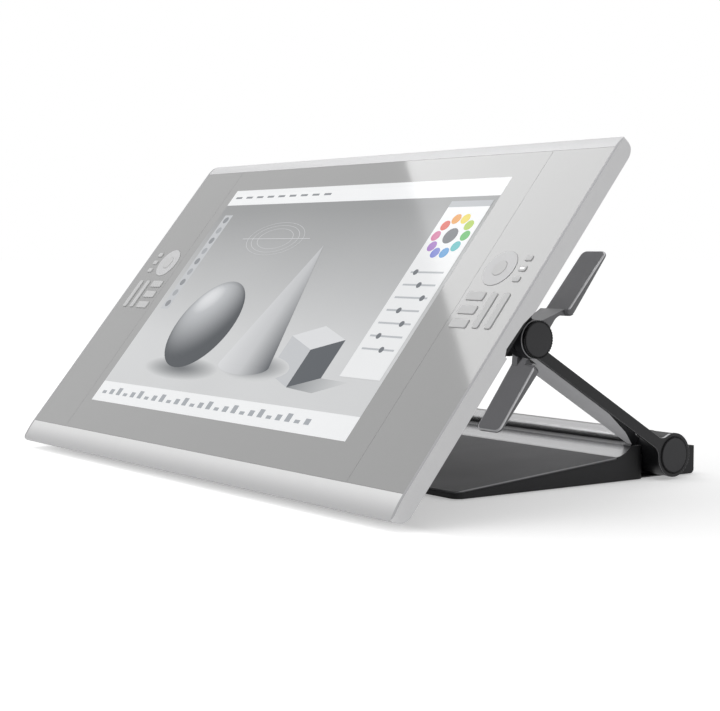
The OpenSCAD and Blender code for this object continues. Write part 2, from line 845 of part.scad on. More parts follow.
// The neck seen from the front, narrower than the blade
module neck_plan() {
  inner = max(upper_hub_x, blade_in);
  polygon([
    [upper_hub_x, 0], [arm_face - neck_slant, 0], [arm_face - neck_slant, upper_root],
    [inner, upper_root], [inner, upper_root - neck_slant], [upper_hub_x, upper_root - 2.5 * neck_slant]
  ]);
}

// Side view of a blade that thins to its tip, round at its root
module blade_shape(root, reach) {
  polygon([
    [root, -lever_set], [reach, -lever_set - lever_lean],
    [reach, -lever_set - lever_lean - lever_tip_t], [root, -lever_set - lever_root_t]
  ]);
  translate([root, -lever_set - lever_root_t / 2]) circle(lever_root_t / 2);
}

// A lever about the tilt axis: hub between the lugs, spoke, blade over its full width
module lever(hub_x, root, reach) {
  rod(hub_x, hub_x + lever_hub_w, lever_hub_r);
  span_x(hub_x, hub_x + lever_hub_w)
    polygon([[0, neck_front], [root, -lever_set], [root, -blade_mid], [0, -neck_back]]);
  intersection() {
    span_x(blade_in, arm_face) blade_shape(root, reach);
    translate([(blade_in + arm_face) / 2, 0, -lever_set - 4 * lever_root_t])
      linear_extrude(6 * lever_root_t) outline(lever_w / 2, 0, reach, over, lever_corner);
    translate([arm_face - lever_w, 0, -lever_set - 4 * lever_root_t]) linear_extrude(6 * lever_root_t)
      outline(lever_w, root - 0.6 * lever_root_t, 2 * reach, root_corner, over);
  }
}

// Hole for the tilt pin through a lever's hub
module lever_hole(hub_x) {
  rod(hub_x - over, hub_x + lever_hub_w + over, pin_r + run_gap);
}

module upper_lever() {
  color("#606062") at_hinge() difference() {
    union() {
      lever(upper_hub_x, upper_root, upper_reach);
      intersection() {
        span_x(upper_hub_x, arm_face) neck_shape();
        translate([0, 0, -4 * blade_mid]) linear_extrude(6 * blade_mid) neck_plan();
      }
    }
    lever_hole(upper_hub_x);
  }
}

// Side view of the lower lever's collar behind the lug
module collar_shape() {
  difference() {
    intersection() {
      circle(collar_r);
      translate([0, -collar_r]) square([lower_root, collar_r - lever_set - 2 * fillet_lap]);
    }
    circle(lug_r + neck_gap);
  }
}

module lower_lever() {
  color("#606062") at_hinge() mirror([0, 1, 0]) difference() {
    union() {
      lever(lower_hub_x, lower_root, lower_reach);
      span_x(lower_hub_x, eye_in - neck_gap) collar_shape();
      span_x(lower_hub_x, eye_in - neck_gap)
        translate([low_neck, fillet_lap - lever_set - lever_root_t])
          square([lower_root + 2 - low_neck, lever_root_t - 2 * fillet_lap]);
    }
    lever_hole(lower_hub_x);
  }
}

module arm() {
  color("#a2a2a4") along_arm() difference() {
    union() {
      rod(arm_in, ring_out, arm_hub_r);
      translate([0, 0, -arm_t / 2]) linear_extrude(arm_t) polygon([
        [arm_in, 0], [ring_out, 0], [ring_out, flare_from], [flare_x, flare_mid], [arm_out, flare_to],
        [arm_out, arm_reach], [eye_in, arm_reach], [eye_in, arm_reach - arm_stop],
        [arm_in + arm_cut, arm_reach - arm_stop], [arm_in, arm_reach - arm_stop - arm_cut]
      ]);
      translate([0, arm_reach, eye_rise]) rod(eye_in, arm_out, eye_r);
    }
    rod(arm_in - over, ring_out + over, shaft_r + seat_gap);
    translate([0, arm_reach, eye_rise]) rod(eye_in - over, arm_out + over, pin_r + run_gap);
  }
}

// Side view of the arm's outer cover: lower disc, filleted bar, upper disc
module cover_shape() {
  reach = arm_hub_r + arm_fillet - fillet_lap;
  rise = arm_t / 2 + arm_fillet - fillet_lap;
  along = sqrt(reach * reach - rise * rise);
  circle(arm_hub_r);
  translate([0, -arm_t / 2]) square([arm_reach, arm_t]);
  translate([arm_reach, eye_rise]) circle(hub_cap_r);
  for (s = [0, 1]) mirror([0, s]) difference() {
    polygon([[0, 0], [along, rise], [along, 0]]);
    translate([along, rise]) circle(arm_fillet);
  }
}

module arm_cover() {
  color("#303032") along_arm() {
    span_x(arm_out, arm_face) cover_shape();
    rod(ring_out, arm_out, arm_hub_r - boss_in);
  }
}

module hub_caps() {
  color("#3a3a3c") for (side = SIDES) on_side(side) along_arm() {
    translate([0, arm_reach, eye_rise]) rod(arm_face, arm_face + hub_cap_t, hub_cap_r);
    rod(arm_face, arm_face + low_cap_t, low_cap_r);
  }
}

module torsion_shaft() {
  color("#9a9a9c") along_arm() rod(1 - ring_out, ring_out - 1, shaft_r);
}

// The base seen from above, in front of the barrel
module base_plan() {
  outline(base_w / 2, base_front, block_end, front_r, back_r);
}

// Keeps a piece of the base inside its plan, with room for the barrel, the turning hubs and the lowered arms
module base_piece(x0, x1) {
  difference() {
    intersection() {
      span_x(x0, x1) children();
      linear_extrude(2 * tip_z) base_plan();
    }
    translate([0, pivot_y, pivot_z]) {
      rod(-barrel_half - over / 2, barrel_half + over / 2, barrel_r + seat_gap);
      for (s = [0, 1]) mirror([s, 0, 0]) rod(barrel_half, base_w / 2 + over, arm_hub_r + hub_room);
    }
    for (side = SIDES) on_side(side) along_arm() translate([barrel_half, 0, -arm_t / 2 - hub_room])
      cube([base_w / 2 + over - barrel_half, arm_reach, arm_t + 2 * hub_room]);
  }
}

// Bottom sheet as seen from above, with a gap all round it
module sheet_plan(gap) {
  near = base_front + sheet_in - gap;
  far = base_back - sheet_back_in + gap;
  outline(base_w / 2 - sheet_in + gap, near, far, sheet_r, sheet_r);
}

// Bottom sheet with the ballast welded on
module base_sheet() {
  color("#3c3c3e") translate([0, 0, foot_h]) {
    linear_extrude(sheet_t) sheet_plan(0);
    translate([-ballast_w / 2, pad_end - ballast_depth, 0])
      cube([ballast_w, ballast_depth, sheet_t + ballast_h]);
  }
}

// Side view of the block with the hollow curve
module sweep_shape() {
  difference() {
    polygon([
      [pad_end, top_z(pad_end) - pad_t], [block_end, top_z(block_end) - pad_t],
      [block_end, tip_z], [tip_y, tip_z], [pad_end, top_z(pad_end)]
    ]);
    translate([sweep_y, sweep_z]) circle(sweep_r, $fn = 180);
  }
}

module base_shell() {
  top = -pad_t - shell_wall;
  near = base_front + 2 * shell_wall;
  far = pad_end + 3 * shell_wall;
  half = base_w / 2;
  color("#2c2c2e") difference() {
    union() {
      base_piece(-half, half) polygon([
        [base_front, foot_h], [block_end, foot_h],
        [block_end, top_z(block_end) - pad_t], [base_front, top_z(base_front) - pad_t]
      ]);
      base_piece(-half, cheek_t - half) sweep_shape();
      base_piece(half - cheek_t, half) sweep_shape();
    }
    span_x(2 * shell_wall - half, half - 2 * shell_wall) polygon([
      [near, floor_z - over], [far, floor_z - over], [far, top_z(far) + top], [near, top_z(near) + top]
    ]);
    translate([0, 0, -over]) linear_extrude(floor_z + over) sheet_plan(seam);
  }
}

module base_pad() {
  color("#5c5c5e") base_piece(-base_w / 2, base_w / 2) polygon([
    [base_front, top_z(base_front) - pad_t], [pad_end, top_z(pad_end) - pad_t],
    [pad_end, top_z(pad_end)], [base_front, top_z(base_front)]
  ]);
}

module sweep_block() {
  color("#b0b0b2") base_piece(cheek_t - base_w / 2, base_w / 2 - cheek_t) sweep_shape();
}

module torsion_barrel() {
  color("#b0b0b2") translate([0, pivot_y, pivot_z]) difference() {
    rod(-barrel_half, barrel_half, barrel_r);
    rod(-barrel_half - over, barrel_half + over, barrel_r - barrel_wall);
  }
}

module barrel_bushes() {
  color("#c8b060") translate([0, pivot_y, pivot_z]) for (s = [0, 1]) mirror([s, 0, 0]) difference() {
    rod(barrel_half - bush_l, barrel_half, barrel_r - barrel_wall - seat_gap);
    rod(barrel_half - bush_l - over, barrel_half + over, shaft_r + run_gap);
  }
}

module torsion_springs() {
  color("#77797c") translate([0, pivot_y, pivot_z]) for (s = [0, 1]) mirror([s, 0, 0]) difference() {
    rod(bush_l, barrel_half - bush_l, barrel_r - barrel_wall - 4);
    rod(bush_l - over, barrel_half, shaft_r + 2);
  }
}

module rear_bar() {
  color("#2c2c2e") difference() {
    span_x(-base_w / 2, base_w / 2) polygon([
      [pivot_y + barrel_r / 2, foot_h], [base_back - bar_lift, foot_h], [base_back, foot_h + bar_lift],
      [base_back, bar_h], [pivot_y + barrel_r / 2, bar_h]
    ]);
    translate([0, pivot_y, pivot_z]) {
      rod(-barrel_half - over / 2, barrel_half + over / 2, barrel_r + seat_gap);
      for (s = [0, 1]) mirror([s, 0, 0]) rod(barrel_half, base_w / 2 + over, arm_hub_r + hub_room);
    }
    translate([0, 0, -over]) linear_extrude(floor_z + over) sheet_plan(seam);
  }
}

module base_feet() {
  color("#1c1c1e") for (s = [-1, 1], y = [base_front + foot_in, base_back - foot_in])
    translate([s * (base_w / 2 - foot_in), y, 0]) cylinder(h = foot_h, r = foot_r);
}

front_glass();
for (side = SIDES) on_side(side) key_panel();
top_trim();
bottom_chin();
for (side = SIDES) on_side(side) end_cap();
mid_frame();
lcd_panel();
backlight();
digitizer_board();
main_board();
power_board();
rear_cover();
socket_panel();
for (side = SIDES) on_side(side) switch_board();
for (side = SIDES) on_side(side) touch_ring();
for (side = SIDES) on_side(side) hinge_bracket();
tilt_pins();
casing_screws();
for (side = SIDES, i = [0:2])
  on_side(side) toggle(i);
for (side = SIDES, i = [0, 1])
  on_side(side) long_key(i);
for (side = SIDES, i = [0:2])
  on_side(side) short_key(i);
for (side = SIDES) on_side(side) ring_button();
for (side = SIDES) on_side(side) upper_lever();
for (side = SIDES) on_side(side) lower_lever();
for (side = SIDES) on_side(side) arm();
for (side = SIDES) on_side(side) arm_cover();
hub_caps();
torsion_shaft();
base_sheet();
base_shell();
base_pad();
sweep_block();
torsion_barrel();
barrel_bushes();
torsion_springs();
rear_bar();
base_feet();
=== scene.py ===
"""Dresses the pen drawing tablet on its folding stand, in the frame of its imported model."""
import logging
import math
from dataclasses import dataclass, field, replace
from enum import Enum
from typing import Any, Callable

import bmesh
import bpy
from mathutils import Matrix, Vector


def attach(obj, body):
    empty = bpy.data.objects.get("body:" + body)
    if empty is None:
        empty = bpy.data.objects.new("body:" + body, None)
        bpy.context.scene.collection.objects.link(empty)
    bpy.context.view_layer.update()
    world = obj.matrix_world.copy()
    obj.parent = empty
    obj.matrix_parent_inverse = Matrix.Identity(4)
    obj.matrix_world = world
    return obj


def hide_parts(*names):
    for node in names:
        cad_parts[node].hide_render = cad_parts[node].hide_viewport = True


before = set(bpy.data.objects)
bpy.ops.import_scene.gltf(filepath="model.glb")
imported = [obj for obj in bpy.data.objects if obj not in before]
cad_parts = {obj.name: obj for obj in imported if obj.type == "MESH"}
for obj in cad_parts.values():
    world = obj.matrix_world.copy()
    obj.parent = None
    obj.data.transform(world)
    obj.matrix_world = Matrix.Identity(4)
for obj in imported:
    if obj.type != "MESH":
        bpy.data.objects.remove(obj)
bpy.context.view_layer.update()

LOG = logging.getLogger("pen_tablet")
MM = 0.001
# A face whose area is more than this times its perimeter is a flat of its own
BROAD_FACE = 2.0 * MM
# Points nearer than this are one, and faces within this angle of each other are one flat
MERGE = 0.002 * MM
FLAT_ANGLE = math.radians(0.2)
# Edges that bend by more than this stay crisp in smooth shading
CRISP_ANGLE = math.radians(32)
# Cosines for a face that lies square to a direction, faces it, or leans towards it
SQUARE, FACING, LEANING = 0.9, 0.5, 0.2
SIDES = ("left", "right")
ROWS = ("upper", "middle", "lower")

# The screen's own axes: X across, Y up the slope, Z out of the glass, its front at Z = 0
TILT = math.radians(50.9)
TILT_AXIS = Vector((0.0, 2.93989, 155.461)) * MM
HINGE_UP = 42.4 * MM
HINGE_DEPTH = 108.5 * MM
SCREEN = (
    Matrix.Translation(TILT_AXIS)
    @ Matrix.Rotation(TILT, 4, "X")
    @ Matrix.Translation((0.0, -HINGE_UP, HINGE_DEPTH))
)
FRONT = SCREEN.to_3x3() @ Vector((0.0, 0.0, 1.0))
UP_SLOPE = SCREEN.to_3x3() @ Vector((0.0, 1.0, 0.0))
ARM_AXIS = Vector((0.0, 199.298, 26.3)) * MM

Colour = tuple[float, float, float, float]
Tint = Callable[[float, float], Colour]
Span = tuple[float, float]
Tree = bpy.types.NodeTree
Socket = bpy.types.NodeSocket


def linear(hex_value: str) -> Colour:
    """Turns an sRGB hex value into linear colour.

    Args:
        hex_value: six hex digits after a hash sign.

    Returns:
        Red, green, blue and an alpha of 1.
    """
    parts = [int(hex_value[i:i + 2], 16) / 255 for i in (1, 3, 5)]
    red, green, blue = (
        p / 12.92 if p <= 0.04045 else ((p + 0.055) / 1.055) ** 2.4 for p in parts
    )
    return red, green, blue, 1.0


def mixed(one: Colour, other: Colour, share: float) -> Colour:
    """Mixes two linear colours, with the given share of the second."""
    return tuple(a + (b - a) * share for a, b in zip(one, other))


def even(hex_value: str) -> Tint:
    """Gives the tint of a tile that has one colour all over."""
    return lambda _x, _y: linear(hex_value)


def add_node(
    tree: Tree, kind: str, inputs: dict[Any, Any] | None = None, **settings: Any
) -> bpy.types.Node:
    """Adds a node with its settings, its constant inputs and its links.

    Args:
        tree: node tree that gets the node.
        kind: the node's type name.
        inputs: input name or number to a constant, or to the socket that feeds it.
        settings: the node's own properties.

    Returns:
        The new node.
    """
    node = tree.nodes.new(kind)
    for key, value in settings.items():
        setattr(node, key, value)
    for key, value in (inputs or {}).items():
        if isinstance(value, Socket):
            tree.links.new(value, node.inputs[key])
        else:
            node.inputs[key].default_value = value
    return node


def noise(tree: Tree, place: Socket, size_mm: float, detail: float) -> Socket:
    """Adds a cloudy pattern with spots of about the given size."""
    return add_node(
        tree, "ShaderNodeTexNoise",
        {"Vector": place, "Scale": 1 / (size_mm * MM), "Detail": detail},
    ).outputs["Fac"]


def combined(tree: Tree, one: Socket, other: Socket, operation: str) -> Socket:
    """Works out one value from two."""
    return add_node(tree, "ShaderNodeMath", {0: one, 1: other}, operation=operation).outputs[0]


def graded(
    tree: Tree, value: Socket, to: Span, since: Span = (0.0, 1.0), soft: bool = False
) -> Socket:
    """Maps one range of values onto another.

    Args:
        tree: node tree that gets the node.
        value: what is mapped.
        to: what comes out at the two ends.
        since: the values at those ends.
        soft: whether it eases in and out.

    Returns:
        The mapped value.
    """
    ends = {"From Min": since[0], "From Max": since[1], "To Min": to[0], "To Max": to[1]}
    return add_node(
        tree, "ShaderNodeMapRange", {"Value": value, **ends},
        interpolation_type="SMOOTHSTEP" if soft else "LINEAR",
    ).outputs[0]


def blank_material(name: str) -> bpy.types.Material:
    """Makes a material whose node tree is empty."""
    made = bpy.data.materials.new(name)
    made.use_nodes = True
    made.node_tree.nodes.clear()
    return made


def to_mesh(name: str, shape: bmesh.types.BMesh) -> bpy.types.Mesh:
    """Turns a shape into a mesh, and frees the shape."""
    mesh = bpy.data.meshes.new(name)
    shape.to_mesh(mesh)
    shape.free()
    return mesh


def link_object(name: str, data: bpy.types.ID) -> bpy.types.Object:
    """Makes an object and links it to the scene."""
    made = bpy.data.objects.new(name, data)
    bpy.context.scene.collection.objects.link(made)
    return made


class Grain(Enum):
    """How a surface was made: how far its pattern is drawn out along each axis."""

    ROUND = (1.0, 1.0, 1.0)
    ALONG_X = (0.02, 1.0, 1.0)
    ROUND_X = (1.0, 0.02, 0.02)


@dataclass(frozen=True)
class Finish:
    """A solid surface with a mottled colour and a fine relief.

    Sizes are in millimetres. A relief too fine for the render is drawn coarser, so
    that it still breaks up the light.
    """

    name: str
    colour: str
    shade: str
    roughness: float
    metallic: float = 0.0
    grain: Grain = Grain.ROUND
    grain_mm: float = 0.6
    depth_mm: float = 0.02
    blotch_mm: float = 30.0
    rough_span: float = 0.06
    least_rough: float = 0.02
    specular: float = 0.5
    strength: float = 0.6

    def tint(self, tree: Tree, place: Socket, mottle: Socket) -> Socket:
        """Mottles the colour with its shade.

        Args:
            tree: the material's nodes.
            place: object coordinates; not used here.
            mottle: share of the shade.

        Returns:
            The surface's colour.
        """
        return add_node(
            tree, "ShaderNodeMix",
            {0: mottle, 6: linear(self.colour), 7: linear(self.shade)},
            data_type="RGBA",
        ).outputs[2]

    def material(self) -> bpy.types.Material:
        """Makes the material, or finds the one already made."""
        made = bpy.data.materials.get(self.name)
        if made:
            return made
        made = blank_material(self.name)
        tree = made.node_tree
        place = add_node(tree, "ShaderNodeTexCoord").outputs["Object"]
        drawn = add_node(
            tree, "ShaderNodeMapping", {"Vector": place, "Scale": self.grain.value}
        ).outputs[0]
        relief = noise(tree, drawn, self.grain_mm, detail=3.0)
        blotch = noise(tree, drawn, self.blotch_mm, detail=4.0)
        mottle = combined(tree, blotch, relief, "MULTIPLY")
        smoothest = max(self.roughness - self.rough_span, self.least_rough)
        rough = graded(tree, blotch, (smoothest, self.roughness + self.rough_span))
        bump = add_node(
            tree, "ShaderNodeBump",
            {"Height": relief, "Distance": self.depth_mm * MM, "Strength": self.strength},
        ).outputs[0]
        shader = add_node(
            tree, "ShaderNodeBsdfPrincipled",
            {
                "Base Color": self.tint(tree, place, mottle),
                "Metallic": self.metallic,
                "Roughness": rough,
                "Specular IOR Level": self.specular,
                "Normal": bump,
            },
        )
        add_node(tree, "ShaderNodeOutputMaterial", {"Surface": shader.outputs[0]})
        return made


@dataclass(frozen=True)
class PaintedShadeFinish(Finish):
    """A finish that darkens towards a line along X.

    The darkening is painted shade, and on polished metal a painted dark reflection; the lamps do
    not make it.
    """

    dark: str = "#000000"
    shade_line_y: float = 0.0
    shade_line_z: float = 0.0
    dark_mm: float = 0.0
    unshaded_mm: float = 1.0

    def tint(self, tree: Tree, place: Socket, mottle: Socket) -> Socket:
        """Mottles the colour and darkens it by its distance from the line, as painted shade.

        Args:
            tree: the material's nodes.
            place: object coordinates.
            mottle: share of the shade.

        Returns:
            The surface's colour.
        """
        plain = super().tint(tree, place, mottle)
        across = add_node(
            tree, "ShaderNodeMapping",
            {
                "Vector": place,
                "Location": (0.0, -self.shade_line_y * MM, -self.shade_line_z * MM),
                "Scale": (0.0, 1.0, 1.0),
            },
        ).outputs[0]
        far = add_node(
            tree, "ShaderNodeVectorMath", {0: across}, operation="LENGTH"
        ).outputs["Value"]
        reach = (self.dark_mm * MM, self.unshaded_mm * MM)
        # Painted shade: darkest near the line, gone further off
        unshaded = graded(tree, far, (0.0, 1.0), reach, soft=True)
        return add_node(
            tree, "ShaderNodeMix", {0: unshaded, 6: linear(self.dark), 7: plain}, data_type="RGBA"
        ).outputs[2]


# Glass etched to a fine tooth and printed grey on its back: soft-edged reflections
ETCHED_GLASS = Finish(
    "etched_glass_printed_grey", "#A6A6A6", "#A0A0A0", 0.06,
    grain_mm=0.5, depth_mm=0.0006, blotch_mm=90.0, rough_span=0.02,
)
# Gloss panels beside the glass, moulded in the same grey
KEY_PANEL = replace(ETCHED_GLASS, name="moulded_acrylic_grey")
# Silver lacquer over moulded ABS: fine flakes and a faint orange peel, with painted shade
# towards the lower edge, where the bowed chin turns away from the light
SILVER_LACQUER = PaintedShadeFinish(
    "lacquered_abs_silver", "#EAEAEA", "#E1E1E2", 0.5,
    metallic=0.1, grain_mm=1.2, depth_mm=0.006, blotch_mm=18.0,
    dark="#BDBDBE", shade_line_y=-250.1, shade_line_z=11.4, unshaded_mm=25.0,
)
# The strip over the glass: the chin's lacquer made greyer and duller, a shaded copy toned to the
# light it gets
TRIM_LACQUER = Finish(
    "lacquered_abs_silver_grey", "#D0D0D1", "#C8C8C9", 0.55,
    metallic=0.1, grain_mm=1.2, depth_mm=0.006, blotch_mm=18.0, specular=0.3,
)
# The strip's lacquer on the end caps, a shade lighter: another copy toned to the light they get
GREY_LACQUER = replace(
    TRIM_LACQUER, name="lacquered_abs_grey", colour="#E0E0E1", shade="#D8D8D9"
)
# The end caps' front-facing faces in a darker grey: painted shade, a thin line beside the panels
RIM_SHADE_GREY = Finish(
    "moulded_abs_grey", "#B5B5B7", "#ADADAF", 0.6,
    grain_mm=0.8, depth_mm=0.008, blotch_mm=18.0, specular=0.15,
)
# Matt ABS keys, lighter than the panel where no reflection lies on it
SATIN_KEY = Finish(
    "moulded_abs_matt_pale", "#D4D4D4", "#CDCDCE", 0.6,
    grain_mm=0.7, depth_mm=0.008, blotch_mm=12.0, specular=0.1,
)
# Touch rings, matt but a little rubbed by fingers
RING_GLOSS = Finish(
    "rubbed_abs_pale", "#D6D6D7", "#CFCFD0", 0.5,
    grain_mm=0.8, depth_mm=0.003, blotch_mm=14.0, specular=0.12,
)
# Spark-eroded ABS of the back: a pitted grain that scatters light
DARK_ABS = Finish(
    "spark_eroded_abs_dark", "#303032", "#28282A", 0.56,
    grain_mm=0.9, depth_mm=0.05, blotch_mm=40.0, specular=0.35,
)
# Satin black ABS at the sides of the base, darker beside the hinge: painted shade where the arm
# and its hub shade it
BLACK_ABS = PaintedShadeFinish(
    "moulded_abs_black", "#1F1F21", "#19191B", 0.46,
    grain_mm=0.8, depth_mm=0.015, blotch_mm=35.0, specular=0.25,
    dark="#070708", shade_line_y=190.0, shade_line_z=15.0, dark_mm=14.0, unshaded_mm=64.0,
)
# Black nylon of the sockets, matt inside
SOCKET_NYLON = Finish(
    "moulded_nylon_black", "#1C1C1E", "#161618", 0.6,
    grain_mm=0.6, depth_mm=0.03, blotch_mm=15.0,
)
# Powder coat on the base's top plate: matt, with the coat's fine pebble
POWDER_COAT = Finish(
    "powder_coated_steel_charcoal", "#565658", "#505052", 0.62,
    grain_mm=1.0, depth_mm=0.03, blotch_mm=60.0, specular=0.35,
)
# Black powder coat on brackets and the rear bar; the same black is laid as painted shade on parts
# of the arms and the hub caps
BLACK_COAT_AND_SHADE = Finish(
    "powder_coated_steel_black", "#1A1A1C", "#151517", 0.5,
    grain_mm=0.9, depth_mm=0.025, blotch_mm=40.0, specular=0.25,
)
# Extruded and polished aluminium: long soft reflections, faint drawn lines, and a painted dark
# band along the groove between the barrel and the hollow curve: painted reflection and shade
POLISHED_ALLOY = PaintedShadeFinish(
    "polished_extruded_aluminium", "#B5B5B6", "#ADADAE", 0.25,
    metallic=1.0, grain=Grain.ALONG_X, grain_mm=0.8, depth_mm=0.004, blotch_mm=20.0,
    rough_span=0.04, dark="#4A4A4C", shade_line_y=166.0, shade_line_z=37.0, dark_mm=11.0, unshaded_mm=20.0,
)
# Bead-blasted cast aluminium of the arms, anodised natural
CAST_ALLOY = Finish(
    "bead_blasted_aluminium", "#C4C4C6", "#B8B8BA", 0.5,
    metallic=0.3, grain_mm=0.7, depth_mm=0.02, blotch_mm=30.0,
)
# Levers: die-cast, blasted and dyed dark; the light lines on their edges are painted highlights
DARK_ALLOY = Finish(
    "anodised_aluminium_dark", "#68686A", "#606062", 0.4,
    metallic=0.3, grain_mm=0.7, depth_mm=0.012, blotch_mm=25.0,
)
# Painted highlights on eased edges: thin light lines along the levers and the arms, standing in
# for light caught by the edges
PAINTED_HIGHLIGHT = Finish(
    "diamond_cut_aluminium", "#C2C2C4", "#B6B6B8", 0.3,
    metallic=0.6, grain_mm=0.5, depth_mm=0.004, blotch_mm=10.0,
)
# The same painted highlight on dark parts, where it is greyer
GREY_PAINTED_HIGHLIGHT = Finish(
    "diamond_cut_dyed_aluminium", "#8A8A8C", "#808082", 0.35,
    metallic=0.4, grain_mm=0.5, depth_mm=0.004, blotch_mm=10.0,
)
# Satin black nylon over the arms
COVER_NYLON = Finish(
    "moulded_nylon_satin_black", "#1F1F21", "#1A1A1C", 0.4,
    grain_mm=0.8, depth_mm=0.01, blotch_mm=30.0, specular=0.3,
)
# Caps over the hinge ends, a shade lighter than the covers
CAP_NYLON = Finish(
    "moulded_nylon_satin_grey", "#303032", "#2B2B2D", 0.45,
    grain_mm=0.8, depth_mm=0.012, blotch_mm=20.0, specular=0.3,
)
# Sheet steel, zinc plated and painted
PAINTED_SHEET = Finish(
    "painted_sheet_steel", "#3E3E40", "#363638", 0.5,
    grain_mm=1.5, depth_mm=0.02, blotch_mm=70.0,
)
# Ground steel pins and shaft, lines round the axis
GROUND_STEEL = Finish(
    "ground_steel", "#A6A6A8", "#98989A", 0.3,
    metallic=1.0, grain=Grain.ROUND_X, grain_mm=0.5, depth_mm=0.006, blotch_mm=12.0,
)
# Blackened screws
BLACK_STEEL = Finish(
    "blackened_steel", "#444446", "#38383A", 0.4,
    metallic=0.9, grain_mm=0.5, depth_mm=0.01, blotch_mm=6.0,
)
# Turned brass bushes
TURNED_BRASS = Finish(
    "turned_brass", "#C7AC63", "#B89A50", 0.32,
    metallic=1.0, grain=Grain.ROUND_X, grain_mm=0.5, depth_mm=0.006, blotch_mm=10.0,
)
# Oiled spring steel
SPRING_STEEL = Finish(
    "oiled_spring_steel", "#77797C", "#686A6D", 0.36,
    metallic=1.0, grain=Grain.ROUND_X, grain_mm=1.0, depth_mm=0.02, blotch_mm=16.0,
)
# Die-cast frame inside the display, dipped black: it shows in the end caps' notches
CAST_FRAME = Finish(
    "die_cast_magnesium_black", "#1B1B1D", "#151517", 0.55,
    grain_mm=1.4, depth_mm=0.04, blotch_mm=40.0, specular=0.25,
)
# Polariser film of the panel
POLARISER = Finish(
    "polariser_film", "#2A2E31", "#24282B", 0.22,
    grain_mm=0.6, depth_mm=0.001, blotch_mm=80.0,
)
# Opal acrylic of the backlight
OPAL_ACRYLIC = Finish(
    "opal_acrylic", "#E6E6E2", "#DCDCD8", 0.4,
    grain_mm=1.0, depth_mm=0.004, blotch_mm=60.0,
)
# Glass-fibre boards under green solder mask, the weave just showing
SOLDER_MASK = Finish(
    "solder_masked_glass_fibre", "#2F5D3A", "#244B2E", 0.35,
    grain_mm=0.8, depth_mm=0.02, blotch_mm=7.0,
)
# Rubber feet, dusty black
FOOT_RUBBER = Finish(
    "moulded_rubber_black", "#1F1F21", "#2A2A2B", 0.78,
    grain_mm=0.9, depth_mm=0.03, blotch_mm=10.0,
)


@dataclass(frozen=True)
class LitPicture:
    """The lit screen under its etched glass: tints of the mesh, faintly uneven light."""

    name: str = "lit_panel_under_etched_glass"
    glow: float = 0.1
    roughness: float = 0.10
    specular: float = 0.15
    uneven_mm: float = 160.0
    least: float = 0.94
    most: float = 1.04

    def material(self) -> bpy.types.Material:
        """Makes the picture's material from the mesh's own tints."""
        made = blank_material(self.name)
        tree = made.node_tree
        tint = add_node(tree, "ShaderNodeAttribute", attribute_name="tint").outputs["Color"]
        place = add_node(tree, "ShaderNodeTexCoord").outputs["Object"]
        uneven = noise(tree, place, self.uneven_mm, detail=1.0)
        level = graded(tree, uneven, (self.least, self.most))
        lit = add_node(
            tree, "ShaderNodeVectorMath", {0: tint, 1: level}, operation="MULTIPLY"
        ).outputs[0]
        shader = add_node(
            tree, "ShaderNodeBsdfPrincipled",
            {
                "Base Color": lit,
                "Roughness": self.roughness,
                "Specular IOR Level": self.specular,
                "Emission Color": lit,
                "Emission Strength": self.glow,
            },
        )
        add_node(tree, "ShaderNodeOutputMaterial", {"Surface": shader.outputs[0]})
        return made


@dataclass(frozen=True)
class LampWindow:
    """A small light pipe of clear acrylic, lit white from behind."""

    name: str = "lit_acrylic_white"
    colour: str = "#FFFFFF"
    glow: float = 1.2
    dimmest: float = 0.8
    roughness: float = 0.2
    cloud_mm: float = 2.0

    def material(self) -> bpy.types.Material:
        """Makes the lamp's material, a little cloudy in its light."""
        made = blank_material(self.name)
        tree = made.node_tree
        place = add_node(tree, "ShaderNodeTexCoord").outputs["Object"]
        cloud = noise(tree, place, self.cloud_mm, detail=2.0)
        level = graded(tree, cloud, (self.dimmest * self.glow, self.glow))
        shader = add_node(
            tree, "ShaderNodeBsdfPrincipled",
            {
                "Base Color": linear(self.colour),
                "Roughness": self.roughness,
                "Emission Color": linear(self.colour),
                "Emission Strength": level,
            },
        )
        add_node(tree, "ShaderNodeOutputMaterial", {"Surface": shader.outputs[0]})
        return made


def off_axis(at: Vector, axis: Vector) -> float:
    """Gives a point's distance in millimetres from an axis along X."""
    return math.hypot(at.y - axis.y, at.z - axis.z) / MM


def coat_node(node: str, finish: Finish) -> None:
    """Gives a CAD node its finish."""
    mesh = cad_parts[node].data
    mesh.materials.clear()
    mesh.materials.append(finish.material())
    LOG.info("coated %s with %s", node, finish.name)


def add_piece(
    name: str, shape: bmesh.types.BMesh, material: bpy.types.Material, body: str,
    smooth: bool = True,
) -> bpy.types.Object:
    """Turns a finished shape into a piece that rides on a body.

    Args:
        name: the piece's name.
        shape: its mesh in the part's frame, in metres; it is freed here.
        material: its material.
        body: the CAD body that it moves with.
        smooth: whether its curved faces are shaded smooth; broad flat ones never are.

    Returns:
        The new object.
    """
    broad = [face.calc_area() > BROAD_FACE * face.calc_perimeter() for face in shape.faces]
    mesh = to_mesh(name, shape)
    mesh.materials.append(material)
    if smooth:
        mesh.shade_smooth()
        mesh.set_sharp_from_angle(angle=CRISP_ANGLE)
        for face, flat in zip(mesh.polygons, broad):
            face.use_smooth = not flat
    else:
        mesh.shade_flat()
    piece = link_object(name, mesh)
    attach(piece, body)
    LOG.info("added %s on %s", name, body)
    return piece


@dataclass(frozen=True)
class Zone:
    """Faces of a piece that have a finish of their own.

    The test gets a face's middle and its outward direction. It is put to the eased
    edges alone, or to every face.
    """

    finish: Finish
    holds: Callable[[Vector, Vector], bool]
    edges_only: bool = True


